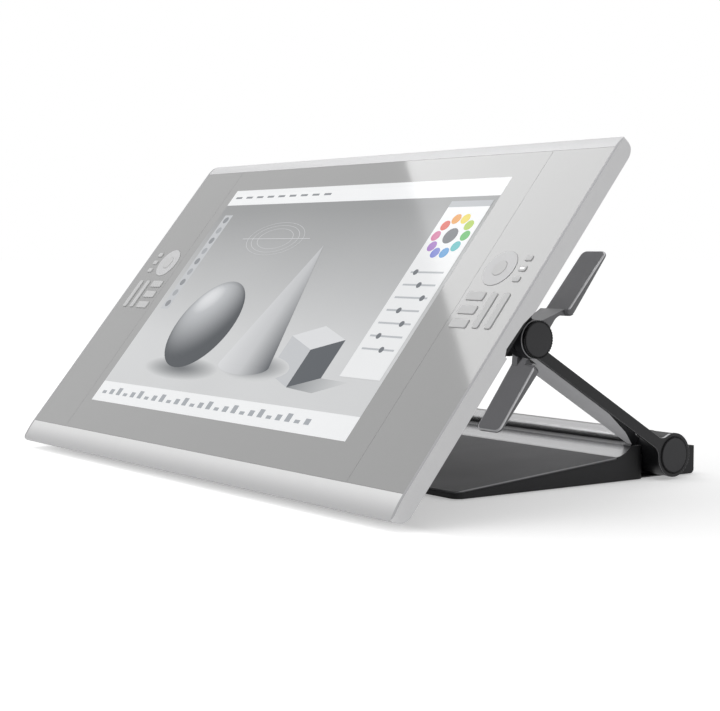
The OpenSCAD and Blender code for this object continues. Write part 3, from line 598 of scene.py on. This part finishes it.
@dataclass(frozen=True)
class EasedPiece:
    """A CAD solid with its sharp edges eased, as a casting's or a moulding's are.

    Every sharp edge is eased, or those that are picked. Flat round ends may get a rim.
    """

    node: str
    body: str
    slot: str
    finish: Finish
    ease_mm: float
    zones: tuple[Zone, ...] = ()
    picks: Callable[[bmesh.types.BMEdge], bool] | None = None
    rim_mm: float = 0.0
    segments: int = 3
    sharp_deg: float = 40.0

    def build(self) -> bpy.types.Object:
        """Makes the eased copy and hides the plain solid.

        Returns:
            The new piece.
        """
        shape = bmesh.new()
        shape.from_mesh(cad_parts[self.node].data)
        bmesh.ops.remove_doubles(shape, verts=shape.verts, dist=MERGE)
        bmesh.ops.dissolve_limit(
            shape, angle_limit=FLAT_ANGLE, verts=shape.verts, edges=shape.edges
        )
        sharp = [
            e for e in shape.edges
            if e.is_manifold and e.calc_face_angle(0.0) > math.radians(self.sharp_deg)
            and (self.picks is None or self.picks(e))
        ]
        eased = bmesh.ops.bevel(
            shape, geom=sharp, offset=self.ease_mm * MM, offset_type="OFFSET",
            segments=self.segments, profile=0.5, affect="EDGES", material=-1,
            clamp_overlap=self.picks is None,
        )
        shape.normal_update()
        edges = set(eased["faces"])
        if self.rim_mm:
            ends = [
                f for f in shape.faces
                if abs(f.normal.x) > SQUARE and f.normal.x * f.calc_center_median().x > 0
            ]
            rims = bmesh.ops.inset_individual(
                shape, faces=ends, thickness=self.rim_mm * MM, use_even_offset=True
            )
            edges |= set(rims["faces"])
        for number, zone in enumerate(self.zones, 1):
            for face in edges if zone.edges_only else shape.faces:
                if zone.holds(face.calc_center_median(), face.normal):
                    face.material_index = number
        piece = add_piece(
            f"{self.node}_eased", shape, self.finish.material(), self.body
        )
        for zone in self.zones:
            piece.data.materials.append(zone.finish.material())
        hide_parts(self.node)
        return piece


@dataclass
class ScreenPicture:
    """A drawing program with a still life of plain solids, as thin tiles on the glass.

    Sizes are in millimetres about the middle of the lit area.
    """

    width: float = 518.4
    height: float = 324.0
    shift: float = -10.0
    tile: float = 0.04

    def __post_init__(self) -> None:
        """Starts the mesh that gathers the tiles."""
        self.shape = bmesh.new()

    def lay(self, tile: bmesh.types.BMesh, layer: int, colour: Tint) -> None:
        """Tints a flat tile, gives it its thickness and puts it on its layer.

        Args:
            tile: the tile's own mesh, flat in X and Y; it is freed here.
            layer: how many tiles lie under it.
            colour: linear colour at a place of the screen.
        """
        tint = tile.verts.layers.float_color.new("tint")
        for vert in tile.verts:
            vert[tint] = colour(vert.co.x, vert.co.y)
            vert.co.z = layer * self.tile
        grown = bmesh.ops.extrude_face_region(tile, geom=tile.faces[:])
        raised = [g for g in grown["geom"] if isinstance(g, bmesh.types.BMVert)]
        bmesh.ops.translate(tile, verts=raised, vec=(0.0, 0.0, self.tile))
        bmesh.ops.recalc_face_normals(tile, faces=tile.faces)
        mesh = to_mesh("tile", tile)
        self.shape.from_mesh(mesh)
        bpy.data.meshes.remove(mesh)

    def box(
        self, left: float, low: float, right: float, high: float, layer: int,
        colour: Tint, cuts: int = 1,
    ) -> None:
        """Lays a rectangle, cut into strips across its height for a graded colour.

        Args:
            left, low, right, high: its sides.
            layer: how many tiles lie under it.
            colour: its colour at a place of the screen.
            cuts: how many strips it has.
        """
        tile = bmesh.new()
        place = Matrix.Translation(((left + right) / 2, (low + high) / 2, 0.0))
        size = Matrix.Diagonal(((right - left) / 2, (high - low) / 2, 1.0, 1.0))
        bmesh.ops.create_grid(
            tile, x_segments=1, y_segments=cuts, size=1.0, matrix=place @ size
        )
        self.lay(tile, layer, colour)

    def disc(
        self, x: float, y: float, wide: float, high: float, layer: int,
        colour: Tint, inner: float = 0.0, rings: int = 1, steps: int = 40,
    ) -> None:
        """Lays an ellipse, or a ring where its inner share is above 0.

        Args:
            x, y: its middle.
            wide, high: half its width and half its height.
            layer: how many tiles lie under it.
            colour: its colour at a place of the screen.
            inner: share of its radius where it starts.
            rings: how many rings it is cut into.
            steps: how many sides it has.
        """
        tile = bmesh.new()
        verts = [
            tile.verts.new((inner + (1 - inner) * i / rings, 0.0, 0.0))
            for i in range(rings + 1)
        ]
        edges = [tile.edges.new(pair) for pair in zip(verts, verts[1:])]
        bmesh.ops.spin(
            tile, geom=verts + edges, axis=(0, 0, 1), cent=(0, 0, 0),
            angle=2 * math.pi, steps=steps, use_merge=True,
        )
        bmesh.ops.remove_doubles(tile, verts=tile.verts, dist=1e-5)
        place = Matrix.Translation((x, y, 0.0)) @ Matrix.Diagonal((wide, high, 1.0, 1.0))
        bmesh.ops.transform(tile, matrix=place, verts=tile.verts)
        self.lay(tile, layer, colour)

    def patch(
        self, corners: list[tuple[float, float]], layer: int, colour: Tint, cuts: int = 0
    ) -> None:
        """Lays a polygon, subdivided where its colour is graded.

        Args:
            corners: its outline.
            layer: how many tiles lie under it.
            colour: its colour at a place of the screen.
            cuts: how often each side is cut.
        """
        tile = bmesh.new()
        face = tile.faces.new([tile.verts.new((x, y, 0.0)) for x, y in corners])
        if cuts:
            bmesh.ops.subdivide_edges(
                tile, edges=face.edges[:], cuts=cuts, use_grid_fill=True
            )
        self.lay(tile, layer, colour)

    def canvas_colour(self, _x: float, y: float) -> Colour:
        """Tints grey paper that is darker at the top."""
        share = min(max((y + 60.0) / 190.0, 0.0), 1.0)
        return mixed(linear("#D4D5D6"), linear("#999A9B"), share)

    def ball(self, x: float, y: float, radius: float, layer: int) -> None:
        """Lays a shaded ball and its shadow.

        Args:
            x, y: its middle.
            radius: its radius.
            layer: how many tiles lie under its shadow.
        """
        wide, high, aside = 1.3 * radius, 0.26 * radius, 12.0

        def shadow(px: float, py: float) -> Colour:
            """Fades a soft shadow into the paper."""
            far = math.hypot((px - x - aside) / wide, (py - y + radius) / high)
            return mixed(linear("#6E7174"), self.canvas_colour(px, py), min(far, 1.0) ** 1.5)

        def shaded(px: float, py: float) -> Colour:
            """Shades the ball from the upper left, with a highlight."""
            across, up = (px - x) / radius, (py - y) / radius
            out = math.sqrt(max(1 - across * across - up * up, 0.0))
            light = max(-0.45 * across + 0.62 * up + 0.64 * out, 0.0)
            grey = mixed(linear("#4A4E53"), linear("#C9CBCE"), light ** 1.5)
            return mixed(grey, linear("#E6E7E9"), max(light - 0.9, 0.0) * 8)

        self.disc(x + aside, y - radius, wide, high, layer, shadow, rings=8)
        self.disc(x, y, radius, radius, layer + 1, shaded, rings=12, steps=56)

    def cone(self, x: float, low: float, half: float, high: float, layer: int) -> None:
        """Lays a shaded cone on an elliptic foot, with its shadow.

        Args:
            x: its middle across.
            low: the middle of its foot.
            half: half the width of its foot.
            high: its height.
            layer: how many tiles lie under its shadow.
        """
        wide, deep, aside = 1.35 * half, 0.34 * half, 20.0

        def shaded(px: float, py: float) -> Colour:
            """Shades the cone from the left."""
            room = max(half * (low + high - py) / high, 1.0)
            across = min(max((px - x) / room, -1.0), 1.0)
            light = 0.5 - 0.5 * across + 0.25 * (1 - abs(across))
            return mixed(linear("#565A5F"), linear("#DDDEE0"), light)

        def shadow(px: float, py: float) -> Colour:
            """Fades a soft shadow into the paper."""
            far = math.hypot((px - x - aside) / wide, (py - low) / deep)
            return mixed(linear("#74777A"), self.canvas_colour(px, py), min(far, 1.0) ** 1.5)

        self.disc(x + aside, low, wide, deep, layer, shadow, rings=8)
        self.disc(x, low, half, 0.24 * half, layer + 1, shaded, rings=4)
        strips = 12
        for i in range(strips):
            edge = [x - half + 2 * half * k / strips for k in (i, i + 1)]
            self.patch([(edge[0], low), (edge[1], low), (x, low + high)], layer + 2, shaded)

    def block(self, x: float, y: float, side: float, layer: int) -> None:
        """Lays a box seen from one corner, its three faces in three greys.

        Args:
            x, y: its nearest corner.
            side: its side.
            layer: how many tiles lie under its shadow.
        """
        rise = 0.32 * side
        right, left, top = x + side, x - side, y + side

        def shadow(px: float, py: float) -> Colour:
            """Fades a cast shadow out to the right."""
            share = min(max((px - x) / (2 * side), 0), 1)
            return mixed(linear("#8B8E91"), self.canvas_colour(px, py), share)

        cast = [(x, y), (right, y + rise), (x + 2 * side, y + 0.9 * rise), (right, y - 0.2 * rise)]
        self.patch(cast, layer, shadow, 3)
        for grey, corners in (
            ("#C6C8CB", [(x, y), (x, top), (left, top + rise), (left, y + rise)]),
            ("#5A5E63", [(x, y), (right, y + rise), (right, top + rise), (x, top)]),
            ("#DFE0E2", [(x, top), (right, top + rise), (x, top + 2 * rise), (left, top + rise)]),
        ):
            self.patch(corners, layer + 1, even(grey))

    def build(self) -> bpy.types.Object:
        """Lays all tiles and puts the picture on the glass.

        Returns:
            The picture, riding on the display.
        """
        half_w, half_h = self.width / 2, self.height / 2
        self.box(-half_w, -half_h, half_w, half_h, 0, even("#F4F5F6"))
        self.box(-half_w, -134, half_w, 138, 1, self.canvas_colour, cuts=24)
        # Title strip, status strip and a floating strip of tools
        self.box(-half_w, 156, half_w, half_h, 1, even("#F2F3F4"))
        for i in range(9):
            self.box(-250 + 24 * i, 148.5, -236 + 24 * i, 151.5, 1, even("#8F9296"))
        for i in range(26):
            self.box(-246 + 17 * i, -151, -237 + 17 * i, -147 + 3 * (i % 3), 1, even("#A9ADB2"))
        self.box(-247, -24, -229, 122, 2, even("#C3C5C8"))
        for i in range(9):
            grey = even(("#8E9195", "#A6A9AD")[i % 2])
            self.disc(-238, 114 - 16.2 * i, 5.0, 5.0, 3, grey, steps=16)
        # Still life
        self.ball(-124, -42, 62, 2)
        self.cone(10, -92, 50, 166, 4)
        self.block(112, -112, 48, 2)
        for i, radius in enumerate((36, 48, 58)):
            self.disc(
                -98, 84, radius, 0.42 * radius, 2 + i, even("#D2D3D5"),
                inner=1 - 0.9 / radius, steps=48,
            )
        self.box(-168, 83.4, -26, 84.4, 6, even("#D2D3D5"))
        # Floating palette with a ring of colours and sliders
        self.box(188, -92, 254, 132, 7, even("#EFF0F1"))
        self.box(188, 124, 254, 132, 8, even("#B4B7BB"))
        hues = ("#5DB661", "#ABC94B", "#E6D352", "#E39D4B", "#D75F50", "#D0759E",
                "#A579C2", "#7884D0", "#5C9DD4", "#5AB9BE")
        for i, hue in enumerate(hues):
            turn = 2 * math.pi * i / len(hues)
            x, y = 221 + 23 * math.cos(turn), 86 + 23 * math.sin(turn)
            self.disc(x, y, 6.5, 6.5, 8, even(hue), steps=20)
        self.disc(221, 86, 10, 10, 8, even("#6C7075"), steps=28)
        for i in range(7):
            low = 38 - 16 * i
            self.box(195, low, 247, low + 2.2, 8, even("#BCBFC3"))
            self.disc(203 + 6 * ((3 * i) % 7), low + 1.1, 3.6, 3.6, 9, even("#777B80"), steps=16)
        scale = Matrix.Translation((self.shift * MM, 0.0, 0.0)) @ Matrix.Scale(MM, 4)
        bmesh.ops.transform(self.shape, matrix=SCREEN @ scale, verts=self.shape.verts)
        return add_piece(
            "screen_picture", self.shape, LitPicture().material(), "display",
            smooth=False,
        )


@dataclass
class KeyLamp:
    """The lit mark on the right middle toggle."""

    across: float = 348.0
    up: float = 45.8
    out: float = 1.1
    length: float = 5.0
    width: float = 1.6
    rise: float = 0.2
    sunk: float = 0.02
    round_share: float = 0.49

    def build(self) -> bpy.types.Object:
        """Makes the lamp, a bar with round ends that rides on its key."""
        shape = bmesh.new()
        size = Matrix.Diagonal((self.length, self.width, self.rise, 1.0))
        bmesh.ops.create_cube(shape, size=1.0, matrix=size)
        uprights = [
            e for e in shape.edges if abs(e.verts[0].co.z - e.verts[1].co.z) > self.rise / 2
        ]
        bmesh.ops.bevel(
            shape, geom=uprights, offset=self.round_share * self.width, offset_type="OFFSET",
            segments=6, profile=0.5, affect="EDGES", material=-1,
        )
        place = Matrix.Translation((self.across, self.up, self.out + self.rise / 2 - self.sunk))
        bmesh.ops.transform(
            shape, matrix=SCREEN @ Matrix.Scale(MM, 4) @ place, verts=shape.verts
        )
        return add_piece(
            "toggle_lamp", shape, LampWindow().material(), "right_toggle_middle_body"
        )


@dataclass
class Display:
    """The display: glass, panels, keys, casing and what is inside."""

    key_ease: float = 0.35
    cap_ease: float = 0.3

    def key_nodes(self) -> list[str]:
        """Lists the node names of both panels' keys."""
        keys = [f"toggle_{row}" for row in ROWS] + [f"short_key_{row}" for row in ROWS]
        keys += ["long_key_outer", "long_key_inner", "ring_button"]
        return [f"{side}_{key}" for side in SIDES for key in keys]

    def dress(self) -> None:
        """Coats the CAD nodes that keep their shape."""
        coat_node("front_glass", ETCHED_GLASS)
        for side in SIDES:
            coat_node(f"{side}_key_panel", KEY_PANEL)
            coat_node(f"{side}_touch_ring", RING_GLOSS)
            coat_node(f"{side}_switch_board", SOLDER_MASK)
            coat_node(f"{side}_hinge_bracket", BLACK_COAT_AND_SHADE)
        coat_node("top_trim", TRIM_LACQUER)
        coat_node("bottom_chin", SILVER_LACQUER)
        for node in ("digitizer_board", "main_board", "power_board"):
            coat_node(node, SOLDER_MASK)
        for node, finish in (
            ("mid_frame", CAST_FRAME), ("lcd_panel", POLARISER), ("backlight", OPAL_ACRYLIC),
            ("rear_cover", DARK_ABS), ("socket_panel", SOCKET_NYLON),
            ("tilt_pins", GROUND_STEEL), ("casing_screws", BLACK_STEEL),
        ):
            coat_node(node, finish)

    def build(self) -> None:
        """Makes the eased keys and end caps, the picture and the lamp."""
        for key in self.key_nodes():
            EasedPiece(key, f"{key}_body", "key_grey", SATIN_KEY, self.key_ease).build()
        # Painted shade: the end caps' faces that look out of the front get a darker grey
        rim = Zone(RIM_SHADE_GREY, lambda _at, looks: looks.dot(FRONT) > FACING, edges_only=False)
        for side in SIDES:
            EasedPiece(
                f"{side}_end_cap", "display", "pale_moulding", GREY_LACQUER, self.cap_ease,
                zones=(rim,),
            ).build()
        ScreenPicture().build()
        KeyLamp().build()


@dataclass
class Stand:
    """The stand: levers, arms, barrel and base."""

    lever_ease: float = 1.5
    arm_ease: float = 0.8
    cap_ease: float = 0.45
    cap_rim: float = 1.2
    pad_ease: float = 1.0
    bar_ease: float = 1.0
    upper_root: float = 49.0
    lower_root: float = 25.0
    eye_r: float = 21.0
    ring_r: float = 26.0
    hollow_y: float = 182.2
    hollow_z: float = 59.7
    hollow_r: float = 16.0
    plate_x: float = 277.0
    black_shade_turn: float = 0.3
    blade_flat: float = 0.95

    def arm_zones(self, out: int) -> tuple[Zone, ...]:
        """Says where an arm is painted black as shade and where its edge gets a painted highlight.

        Args:
            out: 1 for the right arm, -1 for the left one.

        Returns:
            The eye, ring and outer side painted black as shade, and the painted highlight round
            the eye.
        """
        def black(at: Vector, looks: Vector) -> bool:
            """Tells the faces painted black as shade: round both axes, and the outer side."""
            near = off_axis(at, TILT_AXIS) < self.eye_r or off_axis(at, ARM_AXIS) < self.ring_r
            return near or looks.x * out > self.black_shade_turn

        def bright(at: Vector, looks: Vector) -> bool:
            """Tells the eased outer edge round the eye, which gets a painted highlight."""
            return off_axis(at, TILT_AXIS) < self.eye_r and looks.x * out > LEANING

        return Zone(BLACK_COAT_AND_SHADE, black, edges_only=False), Zone(GREY_PAINTED_HIGHLIGHT, bright)

    def cover_zones(self, out: int) -> tuple[Zone, ...]:
        """Says where an arm's cover gets painted highlights.

        Args:
            out: 1 for the right arm, -1 for the left one.

        Returns:
            The outer lower edge, and the hollow between the bar and the lower disc.
        """
        # Eased edges that face this direction get a painted highlight
        lit = Vector((0.6 * out, 0.2, -0.7))
        hollow = Vector((0.0, self.hollow_y, self.hollow_z)) * MM

        def in_hollow(at: Vector, looks: Vector) -> bool:
            """Tells the faces that look up out of the hollow, which get a painted highlight."""
            near = off_axis(at, hollow) < self.hollow_r and abs(at.x) > self.plate_x * MM
            return near and looks.z > FACING

        return (
            Zone(GREY_PAINTED_HIGHLIGHT, lambda _at, looks: looks.dot(lit) > LEANING),
            Zone(PAINTED_HIGHLIGHT, in_hollow, edges_only=False),
        )

    def dress(self) -> None:
        """Coats the CAD nodes that keep their shape."""
        for node, finish in (
            ("torsion_shaft", GROUND_STEEL), ("base_sheet", PAINTED_SHEET),
            ("base_shell", BLACK_ABS), ("sweep_block", POLISHED_ALLOY),
            ("torsion_barrel", POLISHED_ALLOY), ("barrel_bushes", TURNED_BRASS),
            ("torsion_springs", SPRING_STEEL), ("base_feet", FOOT_RUBBER),
        ):
            coat_node(node, finish)

    def build(self) -> tuple[list[bpy.types.Object], list[bpy.types.Object]]:
        """Makes the eased levers, arms, covers, caps, plate and bar.

        Returns:
            The levers and the arms.
        """
        levers, arms = [], []
        # Painted highlight on the lever blades' eased edges that face the front
        blade_edge = Zone(PAINTED_HIGHLIGHT, lambda _at, looks: looks.dot(FRONT) > LEANING)

        def on_blade(edge: bmesh.types.BMEdge, root: float) -> bool:
            """Tells the edges of a lever's blade, past its root."""
            middle = (edge.verts[0].co + edge.verts[1].co) / 2 - TILT_AXIS
            flat = max(abs(face.normal.dot(FRONT)) for face in edge.link_faces)
            return flat > self.blade_flat and abs(middle.dot(UP_SLOPE)) > root * MM

        # The hub caps' inset rims are painted black as the shade of the gap round each cap
        cap_rim = Zone(BLACK_COAT_AND_SHADE, lambda _at, _looks: True)
        # Painted highlight on the base plate's eased edges that face up
        plate_edge = Zone(GREY_PAINTED_HIGHLIGHT, lambda _at, looks: looks.z > LEANING)
        for side, out in zip(SIDES, (-1, 1)):
            for row, root in (("upper", self.upper_root), ("lower", self.lower_root)):
                lever = f"{side}_{row}_lever"
                levers.append(EasedPiece(
                    lever, f"{lever}_body", "lever_alloy", DARK_ALLOY, self.lever_ease,
                    zones=(blade_edge,), picks=lambda edge, root=root: on_blade(edge, root),
                ).build())
            arms.append(EasedPiece(
                f"{side}_arm", "arms", "arm_alloy", CAST_ALLOY, self.arm_ease,
                zones=self.arm_zones(out),
            ).build())
            EasedPiece(
                f"{side}_arm_cover", "arms", "arm_cover_dark", COVER_NYLON, self.arm_ease,
                zones=self.cover_zones(out),
            ).build()
        EasedPiece(
            "hub_caps", "arms", "arm_cover_dark", CAP_NYLON, self.cap_ease,
            zones=(cap_rim,), rim_mm=self.cap_rim,
        ).build()
        EasedPiece(
            "base_pad", "base", "pad_paint", POWDER_COAT, self.pad_ease, zones=(plate_edge,)
        ).build()
        EasedPiece("rear_bar", "base", "bar_paint", BLACK_COAT_AND_SHADE, self.bar_ease).build()
        return levers, arms


@dataclass
class Studio:
    """A white floor, a white room, soft lamps, cards for reflections and the camera."""

    floor_half: float = 30.0
    far_reach: Span = (0.45, 1.5)
    far_lift: Span = (0.36, 0.5)
    front_reach: Span = (-0.28, -0.14)
    front_lift: Span = (0.74, 0.0)
    room_light: float = 0.62
    key_watts: float = 26.0
    key_size: float = 2.6
    key_place: Vector = field(default_factory=lambda: Vector((-0.6, -0.9, 2.6)))
    key_aim: Vector = field(default_factory=lambda: Vector((0.0, 0.0, 0.1)))
    arm_watts: float = 10.0
    upper_watts: float = 17.0
    lower_watts: float = 30.0
    fill_reach: float = 1.4
    fill_size: float = 0.7
    arm_below: Vector = field(default_factory=lambda: Vector((0.0, -0.512, -0.859)))
    card_glow: float = 4.35
    grey_glow: float = 0.3
    black_depth: float = -25.0
    lens: float = 81.135
    sensor: float = 36.0

    def seen(self, tree: Tree) -> Socket:
        """Tells rays from the camera, from gloss and through glass from the rest.

        Args:
            tree: the nodes that ask.

        Returns:
            1 for those rays, else 0.
        """
        path = add_node(tree, "ShaderNodeLightPath")
        camera, gloss, through = (
            path.outputs[f"Is {kind} Ray"] for kind in ("Camera", "Glossy", "Transmission")
        )
        return combined(tree, combined(tree, camera, gloss, "MAXIMUM"), through, "MAXIMUM")

    def room(self) -> None:
        """Lights the room evenly; it looks white, and is dimmer as a light."""
        world = bpy.data.worlds.new("white_room")
        bpy.context.scene.world = world
        world.use_nodes = True
        tree = world.node_tree
        tree.nodes.clear()
        level = graded(tree, self.seen(tree), (self.room_light, 1.0))
        sky = add_node(
            tree, "ShaderNodeBackground", {"Color": linear("#FFFFFF"), "Strength": level}
        )
        add_node(tree, "ShaderNodeOutputWorld", {"Surface": sky.outputs[0]})

    def floor(self) -> None:
        """Lays the floor: it keeps the object's shadow and looks white elsewhere.

        Its shadow is lifted, more so far off and in front of the display's lower edge.
        """
        shape = bmesh.new()
        bmesh.ops.create_grid(shape, x_segments=8, y_segments=8, size=self.floor_half)
        mesh = to_mesh("studio_floor", shape)
        made = blank_material("white_paper")
        tree = made.node_tree
        place = add_node(tree, "ShaderNodeTexCoord").outputs["Object"]
        far = add_node(
            tree, "ShaderNodeVectorMath", {0: place}, operation="LENGTH"
        ).outputs["Value"]
        reach = graded(tree, far, self.far_lift, self.far_reach, soft=True)
        ahead = add_node(tree, "ShaderNodeSeparateXYZ", {0: place}).outputs["Y"]
        front = graded(tree, ahead, self.front_lift, self.front_reach, soft=True)
        most = combined(tree, reach, front, "MAXIMUM")
        lift = combined(tree, self.seen(tree), most, "MULTIPLY")
        paper = add_node(tree, "ShaderNodeBsdfDiffuse", {"Color": linear("#ECECEC")})
        glow = add_node(
            tree, "ShaderNodeEmission", {"Color": linear("#FFFFFF"), "Strength": lift}
        )
        both = add_node(tree, "ShaderNodeAddShader", {0: paper.outputs[0], 1: glow.outputs[0]})
        add_node(tree, "ShaderNodeOutputMaterial", {"Surface": both.outputs[0]})
        mesh.materials.append(made)
        floor = link_object("studio_floor", mesh)

    def lamp(
        self, name: str, place: Vector, aim: Vector, size: float, watts: float
    ) -> bpy.types.Object:
        """Hangs a square soft lamp that is neither seen nor mirrored.

        Args:
            name: the lamp's name.
            place: where it hangs.
            aim: the point that it faces.
            size: its side.
            watts: its power.

        Returns:
            The lamp.
        """
        data = bpy.data.lights.new(name, "AREA")
        data.size = size
        data.energy = watts
        lamp = link_object(name, data)
        lamp.visible_camera = lamp.visible_glossy = False
        lamp.location = place
        lamp.rotation_euler = (aim - place).to_track_quat("-Z", "Y").to_euler()
        return lamp

    def fill(
        self, name: str, pieces: list[bpy.types.Object], middle: Vector, towards: Vector,
        watts: float,
    ) -> None:
        """Hangs a soft lamp that lights some pieces alone, past whatever shades them.

        Args:
            name: the lamp's name.
            pieces: what it lights.
            middle: the middle of those pieces.
            towards: the direction from there to the lamp.
            watts: its power.
        """
        place = middle + self.fill_reach * towards
        lamp = self.lamp(name, place, middle, self.fill_size, watts)
        group = bpy.data.collections.new(f"{name}_pieces")
        for piece in pieces:
            group.objects.link(piece)
        lamp.light_linking.receiver_collection = group
        lamp.light_linking.blocker_collection = group

    def fill_stand(self, levers: list[bpy.types.Object], arms: list[bpy.types.Object]) -> None:
        """Lights what the display shades: the levers' fronts and the arms' lower sides.

        Args:
            levers: the four levers.
            arms: the two arms.
        """
        for row, watts in (("upper", self.upper_watts), ("lower", self.lower_watts)):
            lit = [lever for lever in levers if row in lever.name]
            self.fill(f"{row}_lever_fill", lit, TILT_AXIS, FRONT, watts)
        self.fill("arm_fill", arms, (TILT_AXIS + ARM_AXIS) / 2, self.arm_below, self.arm_watts)

    def hang_card(self, name: str, corners: list[Vector], glow: float) -> None:
        """Hangs a flat card that shows in reflections only.

        Args:
            name: the card's name.
            corners: its outline.
            glow: how bright it is; 0 is black.
        """
        shape = bmesh.new()
        shape.faces.new([shape.verts.new(c) for c in corners])
        mesh = to_mesh(name, shape)
        made = blank_material(f"{name}_paper")
        tree = made.node_tree
        light = add_node(
            tree, "ShaderNodeEmission", {"Color": linear("#FFFFFF"), "Strength": glow}
        )
        add_node(tree, "ShaderNodeOutputMaterial", {"Surface": light.outputs[0]})
        mesh.materials.append(made)
        card = link_object(name, mesh)
        card.visible_camera = card.visible_diffuse = card.visible_shadow = False

    def cards(self) -> None:
        """Hangs a white card over the glass, a black one beside it and a grey one behind.

        The white card's edge crosses the glass as a slanting reflection. The black one
        carries on the display's dark back, so that the barrel mirrors a dark band. The
        grey one gives the barrel's top its darker edge.
        """
        white = ((-1.1652, -0.0512, 1.2703), (-0.6035, -0.3521, 0.8912),
                 (-0.4366, -0.4401, 0.7803), (0.3, -0.4401, 0.7803), (0.3, 0.02, 1.36),
                 (-1.28, 0.02, 1.36))
        black = ((-1600, -220), (-378, -220), (-378, 206), (360, 206), (360, 300), (-1600, 300))
        grey = ((-2.4, 0.5, 0.0), (-0.8, 2.0, 0.0), (-0.8, 2.0, 0.75), (-2.4, 0.5, 0.75))
        self.hang_card("white_card", [Vector(c) for c in white], self.card_glow)
        self.hang_card("grey_card", [Vector(c) for c in grey], self.grey_glow)
        behind = [SCREEN @ (Vector((x, y, self.black_depth)) * MM) for x, y in black]
        self.hang_card("black_card", behind, 0.0)

    def camera(self) -> None:
        """Sets the camera at the photograph's place."""
        data = bpy.data.cameras.new("camera")
        data.lens = self.lens
        data.sensor_width = self.sensor
        data.sensor_fit = "HORIZONTAL"
        data.clip_end = 100.0
        camera = link_object("camera", data)
        right = Vector((0.588891, 0.808207, 0.003017))
        up = Vector((-0.054075, 0.035676, 0.997899))
        back = Vector((0.806401, -0.587817, 0.064713))
        turn = Matrix((right, up, back)).transposed().to_4x4()
        place = Matrix.Translation((1.4728, -1.0851, 0.2432))
        camera.matrix_world = place @ turn
        bpy.context.scene.camera = camera

    def build(self) -> None:
        """Sets up the whole studio."""
        self.camera()
        self.room()
        self.floor()
        self.lamp("soft_overhead", self.key_place, self.key_aim, self.key_size, self.key_watts)
        self.cards()
        bpy.context.scene.view_settings.view_transform = "Standard"


def main() -> None:
    """Builds the studio and the part."""
    logging.basicConfig(level=logging.INFO, format="%(name)s: %(message)s")
    studio = Studio()
    studio.build()
    display = Display()
    display.dress()
    display.build()
    stand = Stand()
    stand.dress()
    levers, arms = stand.build()
    studio.fill_stand(levers, arms)


if __name__ == "__main__":
    main()
